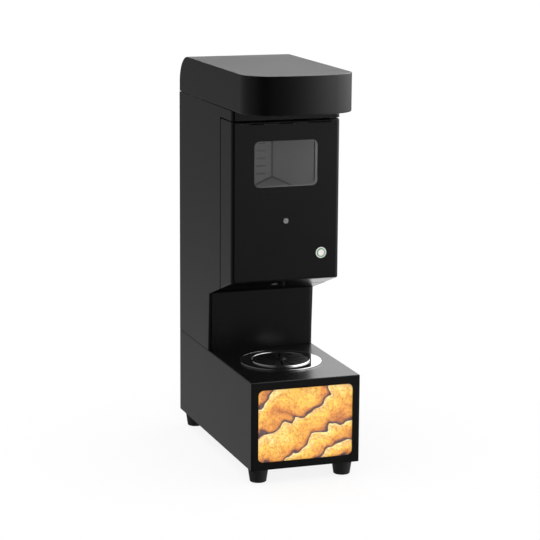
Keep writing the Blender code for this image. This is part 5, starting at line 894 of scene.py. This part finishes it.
def paper_floor():
    """White floor that fades into the background and takes soft shadows."""
    let_go()
    bpy.ops.mesh.primitive_plane_add(size=60.0, location=(0, 0, 0))
    floor = named("floor")
    material = bpy.data.materials.new("floor_paper")
    material.use_nodes = True
    nodes, join = material.node_tree.nodes, material.node_tree.links.new
    nodes.remove(nodes["Principled BSDF"])
    rays = add_node(nodes, "ShaderNodeLightPath")
    paper = add_node(nodes, "ShaderNodeBsdfDiffuse", Color=grey(0.9))
    glow = add_node(nodes, "ShaderNodeEmission", Color=grey(1.0), Strength=1.0)
    mix = add_node(nodes, "ShaderNodeMixShader")
    join(add_sum(nodes, join, "MULTIPLY", rays.outputs["Is Camera Ray"], 0.85), mix.inputs["Fac"])
    join(paper.outputs["BSDF"], mix.inputs[1])
    join(glow.outputs["Emission"], mix.inputs[2])
    join(mix.outputs["Shader"], nodes["Material Output"].inputs["Surface"])
    floor.data.materials.append(material)
    floor.visible_glossy = False


def surroundings():
    """White to the eye, and to the gloss a room of rings whose level changes with the bearing."""
    world = bpy.data.worlds.new("studio")
    bpy.context.scene.world = world
    world.use_nodes = True
    nodes, join = world.node_tree.nodes, world.node_tree.links.new
    place = add_node(nodes, "ShaderNodeTexCoord")
    apart = add_node(nodes, "ShaderNodeSeparateXYZ")
    join(place.outputs["Generated"], apart.inputs["Vector"])
    ahead = add_sum(nodes, join, "MULTIPLY", apart.outputs["Y"], -1.0)
    bearing = add_sum(nodes, join, "ARCTAN2", apart.outputs["X"], ahead)
    turn = add_step(nodes, join, bearing, -math.pi, math.pi, 0.0, 1.0)
    wall = None
    for levels, step in zip(RINGS, (None,) + RING_STEPS):
        ring = add_ramp(nodes, *[((angle + 180) / 360, grey(level / BRIGHTEST)) for angle, level in levels])
        join(turn, ring.inputs["Fac"])
        if step is None:
            wall = ring.outputs["Color"]
            continue
        low, high = (math.sin(math.radians(angle)) for angle in step[:2])
        share = add_step(nodes, join, apart.outputs["Z"], low, high, 0.0, 1.0, step[2])
        wall = add_mix(nodes, join, share, wall, ring.outputs["Color"])
    bright = add_node(nodes, "ShaderNodeVectorMath", operation="SCALE")
    bright.inputs["Scale"].default_value = BRIGHTEST
    join(wall, bright.inputs["Vector"])
    rays = add_node(nodes, "ShaderNodeLightPath").outputs
    seen = add_sum(nodes, join, "MAXIMUM", rays["Is Camera Ray"], rays["Is Transmission Ray"])
    plain = add_mix(nodes, join, seen, grey(0.75), grey(1.0))
    whole = add_mix(nodes, join, rays["Is Glossy Ray"], plain, bright.outputs["Vector"])
    background = nodes["Background"]
    background.inputs["Strength"].default_value = 1.0
    join(whole, background.inputs["Color"])


def sun(name, place, turn, energy, spread_deg):
    bpy.ops.object.light_add(type="SUN", location=place, rotation=turn)
    lamp = bpy.context.object
    lamp.name = name
    lamp.data.energy = energy
    lamp.data.angle = math.radians(spread_deg)
    lamp.visible_glossy = False


def camera():
    target = Vector((0.0017, -0.015, 0.3536))
    azimuth, elevation, roll = (math.radians(angle) for angle in (-19.08, 11.608, 0.373))
    away = Vector((math.sin(azimuth) * math.cos(elevation), -math.cos(azimuth) * math.cos(elevation),
                   math.sin(elevation)))
    let_go()
    bpy.ops.object.camera_add(location=target + away * 3.846)
    item = bpy.context.object
    item.name = "photo_camera"
    look = (-away).to_track_quat("-Z", "Y").to_matrix().to_4x4()
    item.rotation_euler = (look @ Matrix.Rotation(roll, 4, "Z")).to_euler()
    item.data.lens = 135.36
    item.data.sensor_width = 36.0
    bpy.context.scene.camera = item


make_finishes()
base_casing()
feet()
picture_window()
drip_tray()
housing_casing()
lid_cap()
door_skin()
door_glazing()
inner_door_pan()
spout_bead()
hinge_leaves()
push_button()
screws()
dress_kept_pieces()
paper_floor()
surroundings()
sun("ceiling_light", (0, 0, 2), (0, 0, 0), 1.2, 110)
sun("front_light", (-0.3, -1, 1), (math.radians(80), 0, math.radians(-18)), 0.9, 50)
camera()
bpy.context.scene.view_settings.view_transform = "Standard"
let_go()
